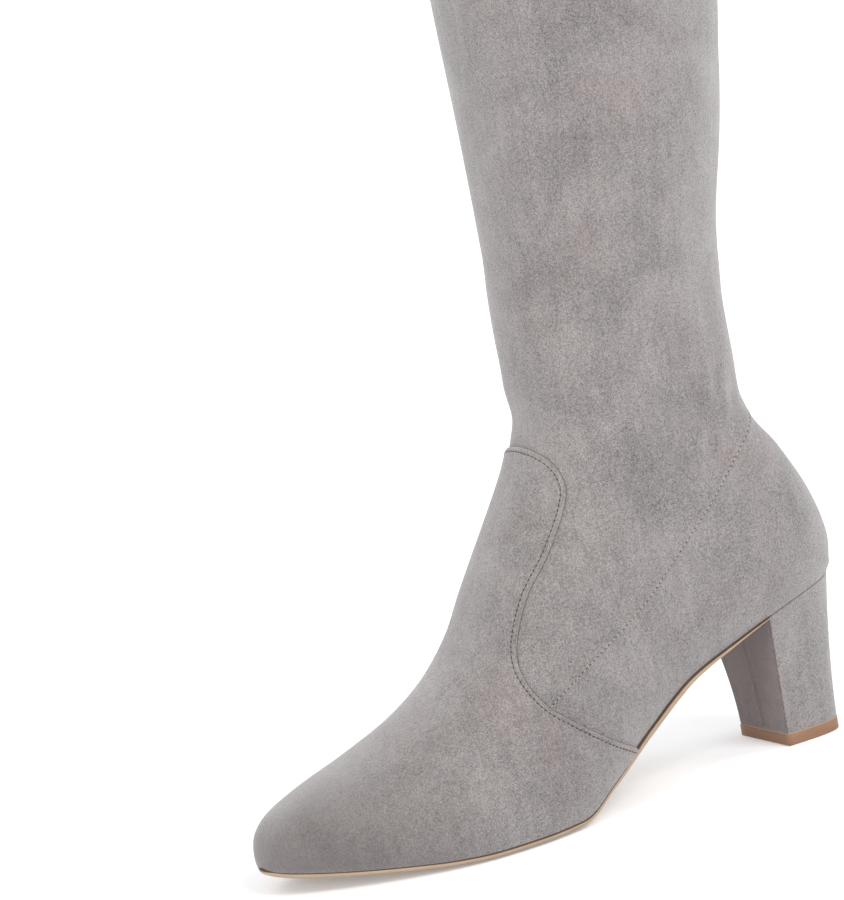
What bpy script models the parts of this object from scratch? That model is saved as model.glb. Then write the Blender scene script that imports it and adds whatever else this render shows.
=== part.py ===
"""Left thigh high boot with a covered block heel and an inner side zip.

Frame: metres, +X towards the toe, +Y towards the outer (left) side of the foot, +Z up. The origin is
the centre of the top lift's underside, on the floor.

The upper is worked out from sections. Each section is a straight line in the side view, from the
bottom or back of the boot to its ridge or front, with a half width that rounds off towards its ends.
The sections stand upright at the toe, fan round the heel and lie level in the shaft.
"""

import math

import bmesh
import bpy
import numpy as np
from mathutils import Matrix, Vector

# Driving sizes of the foot
FOOT_LENGTH = 0.2515  # upper in plan, back of the heel to toe tip
BALL_WIDTH = 0.077  # sole across the ball
SEAT_HEIGHT = 0.0612  # underside of the upper above the floor, at the back of the heel
TOE_SPRING = 0.0070  # rise of the sole's tip above its flat under the ball
INSTEP_HEIGHT = 0.150  # floor to the bend at the front of the ankle
SOLE_THICKNESS = 0.0035
SOLE_EDGE = 0.0014  # the outsole's reach past the upper
FIT_GAP = 0.0003  # between pieces that rest on each other

# Driving sizes of the shaft
COLLAR_HEIGHT = 0.640  # floor to the collar
CALF_HEIGHT = 0.335
CALF_DEPTH = 0.116  # front to back
CALF_WIDTH = 0.100
LEG_SETBACK = 0.067  # leg's axis forward of the back of the heel
HEM_WIDTH = 0.022
HEM_STEP = 0.0008  # the turned hem stands this far off the shaft

# Walls
UPPER_WALL = 0.0016
LASTING_MARGIN = 0.010  # the upper's edge, turned in under the foot
VAMP_WALL = 0.0010
INSOLE_THICKNESS = 0.0025
INSOLE_CLEARANCE = 0.0007

# Heel
BREAST_SHARE = 0.161  # the heel's front face at the seat, as a share of the foot's length
HEEL_INSET = 0.0003  # the seat of the heel lies this far inside the upper's edge
HEEL_SWEEP = 1.6  # above 1, the heel narrows sooner below the seat
LIFT_THICKNESS = 0.0045
LIFT_LENGTH = 0.0276
LIFT_WIDTH = 0.0340
LIFT_SETBACK = 0.0079  # back of the lift forward of the back of the heel
LIFT_SQUARENESS = 4.0  # exponent of the rounded back of the lift

# Zip on the inner side, straight in the side view
ZIP_FOOT_SETBACK = 0.0690  # lower end forward of the back of the heel
ZIP_TOP_SETBACK = 0.0520  # upper end, likewise
ZIP_FOOT_GAP = 0.0050  # lower end above the upper's edge
ZIP_TOP_HEIGHT = 0.2580
ZIP_SLOT_WIDTH = 0.0072
TAPE_WIDTH = 0.0200
TAPE_THICKNESS = 0.0008
TAPE_GAP = 0.0006  # tape behind the wall
TAPE_FOOT_GAP = 0.0056  # its lower end above the upper's edge, clear of the insole
COIL_WIDTH = 0.0052
COIL_THICKNESS = 0.0016

# Slider and pull tab
SLIDER_LENGTH = 0.0110
SLIDER_WIDTH = 0.0088
SLIDER_PLATE = 0.0014
SLIDER_STANDOFF = 0.0004  # plate above the wall
BRIDGE_LENGTH = 0.0056
BRIDGE_WIDTH = 0.0018
BRIDGE_BAR = 0.0009  # thickness of the bridge
PULL_LENGTH = 0.0215
PULL_WIDTH = 0.0070
PULL_END_WIDTH = 0.0052
PULL_THICKNESS = 0.0012
PULL_WINDOW = 0.0028
PULL_CLEARANCE = 0.0003  # the pull's bar inside the bridge

# Mesh counts
SIDE_STEPS = 22  # points along one side of a ring
FOOT_RINGS = 13
SHAFT_RINGS = 15
RING_CROWDING = 1.4  # above 1, the foot's rings crowd towards the sole
HEEL_STEPS = 7  # points of one side of the heel's outline
HEEL_LEVELS = 6
ZIP_STEPS = 16
VAMP_FIRST = 8  # the vamp's mesh starts this many points forward of the back line

SOLE_STACK = SOLE_THICKNESS + FIT_GAP
HEEL_BACK = -(LIFT_SETBACK + LIFT_LENGTH / 2)  # x of the back of the heel
BREAST = HEEL_BACK + BREAST_SHARE * FOOT_LENGTH  # x of the heel's front face at the seat

# Sections of the foot, toe to heel. Lengths along X are shares of FOOT_LENGTH from the heel,
# heights are shares of the rise from the ball to the seat or to the instep, spring is a share of
# TOE_SPRING, and widths and shifts are shares of half of BALL_WIDTH. The roundings are shares of the
# section's own length.
FOOT_COLUMNS = ("bottom_x", "rise", "spring", "top_x", "top_rise", "sole_half", "half_width",
                "bottom_shift", "top_shift", "front_round", "back_round")
FOOT_SECTIONS = (
    (1.000, 0.000, 1.00, 1.000, 0.046, 0.000, 0.000, -0.17, -0.17, 0.95, 0.50),
    (0.986, 0.000, 0.90, 0.995, 0.085, 0.250, 0.262, -0.17, -0.17, 0.95, 0.50),
    (0.952, 0.000, 0.74, 0.987, 0.128, 0.460, 0.480, -0.15, -0.16, 0.95, 0.50),
    (0.904, 0.000, 0.54, 0.960, 0.170, 0.640, 0.665, -0.10, -0.13, 0.95, 0.50),
    (0.844, 0.000, 0.32, 0.899, 0.213, 0.800, 0.830, -0.04, -0.10, 0.95, 0.50),
    (0.776, 0.000, 0.10, 0.816, 0.257, 0.925, 0.960, 0.02, -0.07, 0.95, 0.50),
    (0.710, 0.000, 0.00, 0.731, 0.317, 0.980, 1.020, 0.06, -0.05, 0.95, 0.50),
    (0.632, 0.000, 0.00, 0.665, 0.393, 0.965, 1.020, 0.08, -0.04, 0.92, 0.50),
    (0.560, 0.010, 0.00, 0.616, 0.492, 0.900, 0.985, 0.08, -0.03, 0.88, 0.50),
    (0.484, 0.176, 0.00, 0.585, 0.590, 0.800, 0.930, 0.06, -0.02, 0.80, 0.45),
    (0.400, 0.410, 0.00, 0.557, 0.672, 0.715, 0.880, 0.04, -0.01, 0.70, 0.42),
    (0.312, 0.642, 0.00, 0.530, 0.746, 0.680, 0.850, 0.02, 0.00, 0.58, 0.40),
    (0.224, 0.784, 0.00, 0.503, 0.815, 0.690, 0.835, 0.01, 0.00, 0.48, 0.36),
    (0.136, 0.900, 0.00, 0.484, 0.870, 0.670, 0.825, 0.00, 0.00, 0.42, 0.32),
    (0.062, 0.970, 0.00, 0.472, 0.918, 0.560, 0.820, 0.00, 0.00, 0.39, 0.29),
    (0.016, 0.996, 0.00, 0.465, 0.962, 0.330, 0.820, 0.00, 0.00, 0.38, 0.27),
    (0.000, 1.000, 0.00, 0.463, 0.998, 0.000, 0.820, 0.00, 0.00, 0.38, 0.26),
)

# Sections above the seat. A level of 0 is the seat, 1 the calf and 2 the collar. Back and front are
# shares of half of CALF_DEPTH from the leg's axis, and half_width is a share of half of CALF_WIDTH.
SHAFT_COLUMNS = ("back", "back_level", "front", "front_level", "half_width", "front_round", "back_round")
SHAFT_SECTIONS = (
    (-1.172, 0.045, 0.850, 0.350, 0.635, 0.38, 0.26),
    (-1.090, 0.110, 0.857, 0.388, 0.640, 0.39, 0.28),
    (-0.925, 0.180, 0.859, 0.430, 0.645, 0.41, 0.32),
    (-0.730, 0.247, 0.854, 0.480, 0.655, 0.45, 0.38),
    (-0.708, 0.325, 0.844, 0.540, 0.675, 0.48, 0.44),
    (-0.705, 0.415, 0.837, 0.608, 0.710, 0.50, 0.48),
    (-0.750, 0.520, 0.836, 0.682, 0.765, 0.50, 0.50),
    (-0.880, 0.650, 0.838, 0.771, 0.850, 0.50, 0.50),
    (-1.000, 0.810, 0.843, 0.876, 0.935, 0.50, 0.50),
    (-1.080, 1.000, 0.858, 1.010, 0.990, 0.50, 0.50),
    (-1.060, 1.220, 0.885, 1.220, 0.985, 0.50, 0.50),
    (-1.000, 1.450, 0.925, 1.450, 1.000, 0.50, 0.50),
    (-1.040, 1.720, 0.985, 1.720, 1.090, 0.50, 0.50),
    (-1.130, 2.000, 1.050, 2.000, 1.200, 0.50, 0.50),
)

# The vamp's back edge in the side view, front of the ankle to the sole, as shares of FOOT_LENGTH from
# the heel and of INSTEP_HEIGHT from the floor
VAMP_COLUMNS = ("x", "z")
VAMP_EDGE = (
    (0.560, 0.969),
    (0.500, 0.949),
    (0.468, 0.907),
    (0.455, 0.852),
    (0.462, 0.790),
    (0.506, 0.676),
    (0.554, 0.576),
    (0.588, 0.470),
    (0.596, 0.398),
    (0.580, 0.326),
    (0.545, 0.270),
    (0.493, 0.203),
    (0.440, 0.151),
    (0.380, 0.095),
)

HEEL_ROW = len(FOOT_SECTIONS) - 1
COLLAR_ROW = HEEL_ROW + len(SHAFT_SECTIONS)
ANKLE_ROW = HEEL_ROW + 5  # from here up a ring is one section


def level_height(level):
    """Height of a level of the shaft: 0 at the seat, 1 at the calf, 2 at the collar."""
    return np.interp(level, (0, 1, 2), (SEAT_HEIGHT, CALF_HEIGHT, COLLAR_HEIGHT))


def section_table():
    """The two tables in metres, as one array for each quantity."""
    foot = dict(zip(FOOT_COLUMNS, np.array(FOOT_SECTIONS).T))
    shaft = dict(zip(SHAFT_COLUMNS, np.array(SHAFT_SECTIONS).T))
    none = np.zeros(len(SHAFT_SECTIONS))
    axis = HEEL_BACK + LEG_SETBACK
    foot_side = {
        "bottom_x": HEEL_BACK + foot["bottom_x"] * FOOT_LENGTH,
        "bottom_z": SOLE_STACK + foot["rise"] * (SEAT_HEIGHT - SOLE_STACK) + foot["spring"] * TOE_SPRING,
        "top_x": HEEL_BACK + foot["top_x"] * FOOT_LENGTH,
        "top_z": SOLE_STACK + foot["top_rise"] * (INSTEP_HEIGHT - SOLE_STACK),
        "sole_half": foot["sole_half"] * BALL_WIDTH / 2,
        "half_width": foot["half_width"] * BALL_WIDTH / 2,
        "bottom_shift": foot["bottom_shift"] * BALL_WIDTH / 2,
        "top_shift": foot["top_shift"] * BALL_WIDTH / 2,
        "front_round": foot["front_round"],
        "back_round": foot["back_round"],
    }
    foot_side["top_z"][0] = foot_side["bottom_z"][0]
    shaft_side = {
        "bottom_x": axis + shaft["back"] * CALF_DEPTH / 2,
        "bottom_z": level_height(shaft["back_level"]),
        "top_x": axis + shaft["front"] * CALF_DEPTH / 2,
        "top_z": level_height(shaft["front_level"]),
        "sole_half": none,
        "half_width": shaft["half_width"] * CALF_WIDTH / 2,
        "bottom_shift": none,
        "top_shift": none,
        "front_round": shaft["front_round"],
        "back_round": shaft["back_round"],
    }
    return {name: np.concatenate([foot_side[name], shaft_side[name]]) for name in foot_side}


TABLE = section_table()
CORNERED = ("bottom_x", "bottom_z", "sole_half")  # these turn a corner at the back of the heel


def even_slopes(values):
    """Slopes for a curve that rounds its ends and keeps level stretches level."""
    steps = np.diff(values)
    slopes = np.zeros_like(values)
    before, after = steps[:-1], steps[1:]
    same_way = before * after > 0
    slopes[1:-1][same_way] = (2 * before * after / (before + after + (before + after == 0)))[same_way]
    return slopes


def spline(values, at, slopes=None):
    """A smooth curve through evenly spaced values, read at the fractional rows given."""
    slopes = np.gradient(values) if slopes is None else slopes
    row = np.clip(np.floor(at).astype(int), 0, len(values) - 2)
    t = at - row
    return (values[row] * (1 + 2 * t) * (1 - t) ** 2 + slopes[row] * t * (1 - t) ** 2
            + values[row + 1] * t * t * (3 - 2 * t) + slopes[row + 1] * t * t * (t - 1))


def column(name, row):
    """One quantity of the sections, at any fractional row."""
    row = np.clip(np.asarray(row, float), 0, COLLAR_ROW)
    values = TABLE[name]
    if name not in CORNERED:
        return spline(values, row)
    foot = values[: HEEL_ROW + 1]
    slopes = even_slopes(foot) if name == "bottom_z" else np.gradient(foot)
    if name == "bottom_x":
        slopes[0] = slopes[-1] = 0  # the tip and the heel are round in plan
    foot = spline(foot, np.minimum(row, HEEL_ROW), slopes)
    shaft = spline(values[HEEL_ROW:], np.maximum(row - HEEL_ROW, 0))
    return np.where(row <= HEEL_ROW, foot, shaft)


def round_off(depth, exponent=2.0):
    """Half width at a depth inside the edge: 0 at the edge, 1 from a depth of 1 on."""
    return (1 - (1 - np.clip(depth, 0, 1)) ** exponent) ** (1 / exponent)


def half_width(row, share):
    """Half width on a section, at a share of its length from the bottom or back."""
    widest = column("half_width", row)
    sole = np.minimum(np.clip(column("sole_half", row), 0, None) / np.maximum(widest, 1e-9), 1)
    back = column("back_round", row)
    start = back * (1 - (1 - sole**2) ** 0.5)
    front = round_off((1 - share) / column("front_round", row), 2.2)
    return widest * front * round_off((share + start) / back)


def middle(row, share):
    """Y of the middle of a section, at a share of its length."""
    return column("bottom_shift", row) * (1 - share) + column("top_shift", row) * share


def ahead_of(row, x, z):
    """Above 0 where the point of the side view lies in front of the section."""
    start_x, start_z = column("bottom_x", row), column("bottom_z", row)
    along_x, along_z = column("top_x", row) - start_x, column("top_z", row) - start_z
    return along_z * (x - start_x) - along_x * (z - start_z)


def halve(is_low, length, top_row):
    """Finds the fractional row at which a test that starts true turns false."""
    low, high = np.zeros(length), np.full(length, float(top_row))
    for _ in range(36):
        row = (low + high) / 2
        still = is_low(row)
        low = np.where(still, row, low)
        high = np.where(still, high, row)
    return (low + high) / 2


def locate(x, z):
    """The section through a point of the side view, as its fractional row, and the share along it."""
    row = halve(lambda r: ahead_of(r, x, z) <= 0, len(x), COLLAR_ROW)
    start = np.stack([column("bottom_x", row), column("bottom_z", row)])
    along = np.stack([column("top_x", row), column("top_z", row)]) - start
    share = ((np.stack([x, z]) - start) * along).sum(0) / np.maximum((along**2).sum(0), 1e-12)
    return row, np.clip(share, 0, 1)


def skin(x, z, side):
    """The upper's outer surface over a point of the side view. side is 1 outside, -1 inside."""
    row, share = locate(x, z)
    return np.stack([x, middle(row, share) + side * half_width(row, share), z], axis=-1)


def crowd_ends():
    """Shares from 0 to 1, crowded towards both ends, at which the side view is sampled."""
    return (1 - np.cos(np.linspace(0, math.pi, SIDE_STEPS + 1))) / 2


STATIONS = HEEL_BACK + crowd_ends() * FOOT_LENGTH
STATION_ROWS = halve(lambda r: column("bottom_x", r) > STATIONS, SIDE_STEPS + 1, HEEL_ROW)
STATION_HEIGHTS = column("bottom_z", STATION_ROWS)


def sole_height(x):
    """Height of the upper's underside at an x, straight between the stations."""
    return np.interp(x, STATIONS, STATION_HEIGHTS)


def off_sole(x, gap):
    """Height that stands a gap off the sole line, measured square to it."""
    slope = np.interp(x, STATIONS, np.gradient(STATION_HEIGHTS, STATIONS))
    return gap * np.hypot(1, slope)


def sole_edge(x, outset):
    """The two edges of the sole at each x, moved outwards in plan. Lateral edge first."""
    edges = []
    rows = halve(lambda r: column("bottom_x", r) > x, len(x), HEEL_ROW)
    for side in (1, -1):
        reach = 1e-3
        near = np.stack([column("bottom_x", rows), column("bottom_shift", rows)
                         + side * column("sole_half", rows)], axis=-1)
        ends = []
        for step in (-reach, reach):
            row = np.clip(rows + step, 0, HEEL_ROW)
            ends.append(np.stack([column("bottom_x", row), column("bottom_shift", row)
                                  + side * column("sole_half", row)], axis=-1))
        along = ends[0] - ends[1]
        along /= np.linalg.norm(along, axis=-1)[:, None]
        outward = side * np.stack([-along[:, 1], along[:, 0]], axis=-1)
        moved = near + outset * outward
        edges.append(np.column_stack([moved, sole_height(moved[:, 0])]))
    return edges


def ring_path(turn):
    """The side view of one ring, back to front. turn runs from 0, the sole's edge, to 1, the ankle."""
    back_row = HEEL_ROW + turn * (ANKLE_ROW - HEEL_ROW)
    front_row = turn * ANKLE_ROW
    start = np.array([column("bottom_x", back_row), column("bottom_z", back_row)])
    end = np.array([column("top_x", front_row), column("top_z", front_row)])
    share = crowd_ends()
    x = start[0] + (end[0] - start[0]) * share
    z = start[1] + (end[1] - start[1]) * share
    chord = STATION_HEIGHTS[0] + (STATION_HEIGHTS[-1] - STATION_HEIGHTS[0]) * share
    return x, z + (STATION_HEIGHTS - chord) * (1 - turn) ** 1.5


def closed_ring(x, z):
    """A ring round the boot from its side view: outer side back to front, then inner side back again."""
    outer, inner = skin(x, z, 1), skin(x, z, -1)
    for end in (0, -1):
        outer[end, 1] = (outer[end, 1] + inner[end, 1]) / 2
    return np.concatenate([outer, inner[-2:0:-1]])


def section_ring(row):
    """A ring along one section of the shaft."""
    share = crowd_ends()
    x = column("bottom_x", row) * (1 - share) + column("top_x", row) * share
    z = column("bottom_z", row) * (1 - share) + column("top_z", row) * share
    return closed_ring(x, z)


def foot_rings():
    """Rings from the sole's edge to the ankle."""
    turns = np.linspace(0, 1, FOOT_RINGS + 1) ** RING_CROWDING
    return np.array([closed_ring(*ring_path(turn)) for turn in turns])


def shaft_rings():
    """Rings from above the ankle to the collar, with the hem's step."""
    hem = COLLAR_ROW - HEM_WIDTH / (column("bottom_z", COLLAR_ROW) - column("bottom_z", COLLAR_ROW - 1))
    plain = [section_ring(row) for row in np.linspace(ANKLE_ROW, hem, SHAFT_RINGS + 1)[1:]]
    stepped = []
    for row in (hem + 0.01, COLLAR_ROW):
        ring = section_ring(row)
        centre = ring.mean(axis=0)
        outward = (ring - centre) * (1, 1, 0)
        outward /= np.linalg.norm(outward, axis=-1)[:, None]
        stepped.append(ring + outward * HEM_STEP)
    return np.array(plain + stepped)


def margin_ring():
    """The inner edge of the strip turned in under the foot, on the same points as the lowest ring."""
    outer, inner = sole_edge(STATIONS, -LASTING_MARGIN)
    for end in (0, -1):
        outer[end, 1] = (outer[end, 1] + inner[end, 1]) / 2
    return np.concatenate([outer, inner[-2:0:-1]])


def new_object(name, mesh, collection):
    """An object for a finished mesh."""
    thing = bpy.data.objects.new(name, mesh)
    collection.objects.link(thing)
    return thing


def mesh_from(name, points, faces):
    """A mesh from points and faces, with its faces turned to agree."""
    mesh = bpy.data.meshes.new(name)
    mesh.from_pydata([tuple(p) for p in points], [], faces)
    shape = bmesh.new()
    shape.from_mesh(mesh)
    bmesh.ops.recalc_face_normals(shape, faces=shape.faces)
    shape.to_mesh(mesh)
    shape.free()
    return mesh


def grid_faces(rows, columns, closed):
    """Triangles over a grid of points, closed round or open, all split the same way."""
    faces = []
    for i in range(rows - 1):
        for k in range(columns if closed else columns - 1):
            low, low_next = i * columns + k, i * columns + (k + 1) % columns
            faces.append((low, low_next, low_next + columns))
            faces.append((low, low_next + columns, low + columns))
    return faces


def smooth(thing, angle=math.radians(35)):
    """Smooth shading with sharp edges past an angle."""
    thing.data.shade_smooth()
    thing.data.set_sharp_from_angle(angle=angle)


def thicken(thing, thickness, offset):
    """Solidify an open surface. offset is -1 away from the faces' front and 1 towards it."""
    solid = thing.modifiers.new("wall", "SOLIDIFY")
    solid.thickness = thickness
    solid.offset = offset
    solid.use_even_offset = True
    return solid


def cut(thing, cutter, operation):
    """Boolean with the exact solver."""
    boolean = thing.modifiers.new(operation.lower(), "BOOLEAN")
    boolean.object = cutter
    boolean.operation = operation
    boolean.solver = "EXACT"


def hide_cutter(cutter):
    """Keeps a cutter out of the part."""
    cutter.hide_render = True
    cutter.display_type = "WIRE"


def plain_material(name, colour, roughness, metallic=0.0):
    """A Principled material."""
    material = bpy.data.materials.new(name)
    material.use_nodes = True
    shader = material.node_tree.nodes["Principled BSDF"]
    shader.inputs["Base Color"].default_value = (*colour, 1)
    shader.inputs["Roughness"].default_value = roughness
    shader.inputs["Metallic"].default_value = metallic
    return material


def turned_out(mesh):
    """Turns an open surface's faces away from the boot's inside, judged by their normals overall."""
    points = np.array([v.co for v in mesh.vertices])
    centre = points.mean(axis=0)
    facing = sum(np.dot(np.array(f.center) - centre, f.normal) * f.area for f in mesh.polygons)
    if facing < 0:
        mesh.flip_normals()


def vertex_normals(grid):
    """Outward unit normals of a grid of points that is closed round its second index."""
    round_way = np.roll(grid, -1, axis=1) - np.roll(grid, 1, axis=1)
    up_way = np.gradient(grid, axis=0)
    normal = np.cross(up_way, round_way)
    normal /= np.maximum(np.linalg.norm(normal, axis=-1), 1e-12)[..., None]
    middle_line = grid.mean(axis=1, keepdims=True)
    return normal * np.sign(((grid - middle_line) * normal).sum(-1).mean())


def make_upper(parts, cutters):
    """The hollow upper: shaft, foot and turned-in edge, with the slot for the zip."""
    rings = np.concatenate([[margin_ring()], foot_rings(), shaft_rings()])
    mesh = mesh_from("upper", rings.reshape(-1, 3), grid_faces(len(rings), rings.shape[1], True))
    turned_out(mesh)
    upper = new_object("upper", mesh, parts)
    thicken(upper, UPPER_WALL, -1)
    slot = new_object("zip_slot", zip_mesh("zip_slot", spread(ZIP_SLOT_WIDTH)), cutters)
    thicken(slot, 6 * UPPER_WALL, 0)
    hide_cutter(slot)
    cut(upper, slot, "DIFFERENCE")
    smooth(upper)
    return upper


def vamp_outline():
    """The vamp's outline in the side view: its S-shaped edge, the sole line and well clear in front."""
    edge = dict(zip(VAMP_COLUMNS, np.array(VAMP_EDGE).T))
    at = np.linspace(0, len(VAMP_EDGE) - 1, 3 * (len(VAMP_EDGE) - 1) + 1)
    x = HEEL_BACK + spline(edge["x"], at) * FOOT_LENGTH
    z = spline(edge["z"], at) * INSTEP_HEIGHT
    far = HEEL_BACK + 1.1 * FOOT_LENGTH
    above = z > sole_height(x)
    foot = x[~above][0]
    x, z = x[above], z[above]
    line = np.concatenate([[foot], STATIONS[STATIONS > foot], [far]])
    return np.column_stack([np.concatenate([x, line, [far]]),
                            np.concatenate([z, sole_height(line), [z[0]]])])


def prism(name, outline, cutters):
    """A cutter: an outline in the side view, drawn right through the boot."""
    count = len(outline)
    points = [(x, y, z) for y in (-BALL_WIDTH, BALL_WIDTH) for x, z in outline]
    faces = [(k, (k + 1) % count, count + (k + 1) % count, count + k) for k in range(count)]
    faces += [tuple(range(count)), tuple(range(count, 2 * count))]
    shape = new_object(name, mesh_from(name, points, faces), cutters)
    hide_cutter(shape)
    return shape


def make_vamp(parts, cutters):
    """The foot panel, a skin over the front of the upper inside an S-shaped edge."""
    grid = foot_rings()
    grid = grid + vertex_normals(grid) * FIT_GAP
    grid[0, :, 2] -= VAMP_WALL  # below the sole line, where the outline cuts it
    grid = grid[:, VAMP_FIRST: grid.shape[1] + 1 - VAMP_FIRST]
    mesh = mesh_from("vamp", grid.reshape(-1, 3), grid_faces(len(grid), grid.shape[1], False))
    turned_out(mesh)
    vamp = new_object("vamp", mesh, parts)
    thicken(vamp, VAMP_WALL, 1)
    cut(vamp, prism("vamp_shape", vamp_outline(), cutters), "INTERSECT")
    smooth(vamp)
    return vamp


def strip_mesh(name, edges, height, back_point, tip_point):
    """An open sheet between two edges at a height off the sole line. Its ends may close to a point."""
    left, right = edges
    across = (0.0, 0.25, 0.5, 0.75, 1.0)
    points, rows = [], []
    for k in range(len(left)):
        closes = (k == 0 and back_point) or (k == len(left) - 1 and tip_point)
        shares = (0.5,) if closes else across
        rows.append(range(len(points), len(points) + len(shares)))
        for share in shares:
            point = left[k] * (1 - share) + right[k] * share
            points.append((point[0], point[1], point[2] + off_sole(point[0], height)))
    faces = []
    for one, two in zip(rows, rows[1:]):
        for c in range(len(across) - 1):
            corners = [one[min(c, len(one) - 1)], one[min(c + 1, len(one) - 1)],
                       two[min(c + 1, len(two) - 1)], two[min(c, len(two) - 1)]]
            faces.append(tuple(dict.fromkeys(corners)))
    mesh = mesh_from(name, points, faces)
    if sum(f.normal.z * f.area for f in mesh.polygons) < 0:
        mesh.flip_normals()
    return mesh


def make_outsole(parts, cutters):
    """The thin outsole, from the toe to the heel's front face."""
    start = BREAST - SOLE_THICKNESS
    edges = sole_edge(np.append(start, STATIONS[STATIONS > start + FIT_GAP]), SOLE_EDGE)
    outsole = new_object("outsole", strip_mesh("outsole", edges, -FIT_GAP, False, True), parts)
    thicken(outsole, SOLE_THICKNESS, -1)
    seat, below = (heel_outline(level)[0][[0, 2]] + (1.1 * FIT_GAP, 0) for level in (0, 1 / HEEL_LEVELS))
    far = np.array([2 * HEEL_BACK, 0])
    room = np.array([seat * 2 - below, below, below * (0, 1) + far, (seat * 2 - below) * (0, 1) + far])
    cut(outsole, prism("heel_room", room, cutters), "DIFFERENCE")
    smooth(outsole)
    return outsole


def make_insole(parts):
    """The insole, resting inside on the upper's turned-in edge."""
    edges = sole_edge(STATIONS, -(UPPER_WALL + INSOLE_CLEARANCE))
    mesh = strip_mesh("insole", edges, UPPER_WALL + 1.8 * FIT_GAP, True, True)
    insole = new_object("insole", mesh, parts)
    thicken(insole, INSOLE_THICKNESS, 1)
    smooth(insole)
    return insole


def heel_outline(level):
    """The heel's outline at a level: 0 at the seat, 1 at the lift. Lateral front corner first."""
    depth = np.sin(np.linspace(0, math.pi / 2, HEEL_STEPS))
    seat_back = HEEL_BACK + HEEL_INSET
    seat_x = BREAST + (seat_back - BREAST) * depth
    lateral, medial = sole_edge(seat_x, -HEEL_INSET)
    lateral[-1, :2] = medial[-1, :2] = (seat_back, 0)
    lift_front = LIFT_LENGTH / 2
    lift_x = lift_front - LIFT_LENGTH * depth
    lift_half = LIFT_WIDTH / 2 * (1 - depth**LIFT_SQUARENESS) ** (1 / LIFT_SQUARENESS)
    blend = 1 - (1 - level) ** HEEL_SWEEP
    lift_top = LIFT_THICKNESS + FIT_GAP
    rows = []
    for edge, side in ((lateral, 1), (medial, -1)):
        seat = np.column_stack([seat_x, edge[:, 1], sole_height(seat_x) - FIT_GAP])
        base = np.column_stack([lift_x, side * lift_half, np.full(HEEL_STEPS, lift_top)])
        place = seat * (1 - blend) + base * blend
        place[:, 2] = seat[:, 2] * (1 - level) + base[:, 2] * level
        rows.append(place)
    return np.concatenate([rows[0], rows[1][-2::-1]])


def loft(name, outlines, parts):
    """A closed solid through outlines that pair their points left and right."""
    count = outlines.shape[1]
    last = (len(outlines) - 1) * count
    faces = grid_faces(len(outlines), count, True)
    for k in range(count // 2):
        pair = (k, k + 1, count - 2 - k, count - 1 - k)
        faces.append(tuple(dict.fromkeys(pair)))
        faces.append(tuple(dict.fromkeys(last + i for i in pair)))
    return new_object(name, mesh_from(name, outlines.reshape(-1, 3), faces), parts)


def make_heel(parts):
    """The covered block heel."""
    levels = np.linspace(0, 1, HEEL_LEVELS + 1)
    heel = loft("heel", np.array([heel_outline(level) for level in levels]), parts)
    smooth(heel)
    return heel


def make_lift(parts):
    """The top lift, which stands on the floor."""
    top = heel_outline(1.0)
    top[:, 2] = LIFT_THICKNESS
    bottom = top * (1, 1, 0)
    lift = loft("heel_lift", np.array([top, bottom]), parts)
    smooth(lift)
    return lift


def zip_place(along, across, foot_gap=ZIP_FOOT_GAP):
    """Side view place at a share along the zip, and a distance across it, frontwards.

    The zip starts on a line parallel to the sole.
    """
    foot_x = HEEL_BACK + ZIP_FOOT_SETBACK
    foot = np.array([foot_x, sole_height(foot_x) + foot_gap])
    rise = np.array([HEEL_BACK + ZIP_TOP_SETBACK, ZIP_TOP_HEIGHT]) - foot
    up = rise / np.hypot(*rise)
    x = foot[0] + up[1] * across
    z = foot[1] - up[0] * across
    slope = (sole_height(foot_x + TAPE_WIDTH / 2) - sole_height(foot_x - TAPE_WIDTH / 2)) / TAPE_WIDTH
    short = (foot[1] + slope * (x - foot[0]) - z) / (up[1] - slope * up[0])
    length = np.hypot(*rise) * along + short * (1 - along)
    return x + up[0] * length, z + up[1] * length


def wall_point(x, z, depth):
    """A point of the inner side, at a depth under the outer surface, and its outward normal."""
    reach = 1e-4
    here = skin(x, z, -1)
    along_x = skin(x + reach, z, -1) - skin(x - reach, z, -1)
    along_z = skin(x, z + reach, -1) - skin(x, z - reach, -1)
    normal = np.cross(along_x, along_z)
    normal /= np.linalg.norm(normal, axis=-1)[..., None]
    normal *= -np.sign(normal[..., 1:2])
    return here - normal * depth, normal


def zip_mesh(name, across, low=0.0, high=1.0, depth=0.0, foot_gap=ZIP_FOOT_GAP):
    """An open strip along the zip at a depth under the outer surface."""
    stations = np.linspace(0, 1, ZIP_STEPS + 1)
    stations[0], stations[-1] = low, high
    along = np.repeat(stations, len(across))
    across = np.tile(across, len(stations))
    x, z = zip_place(along, across, foot_gap)
    points, _ = wall_point(x, z, depth)
    mesh = mesh_from(name, points, grid_faces(len(stations), len(across) // len(stations), False))
    if sum(f.normal.y * f.area for f in mesh.polygons) > 0:
        mesh.flip_normals()
    return mesh


def spread(width):
    """Places across a strip: its two edges and its middle."""
    return np.array([-width / 2, 0, width / 2])


def zip_length():
    """Length of the slot."""
    low, high = (np.array(zip_place(end, 0.0)) for end in (0, 1))
    return float(np.hypot(*(high - low)))


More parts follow.
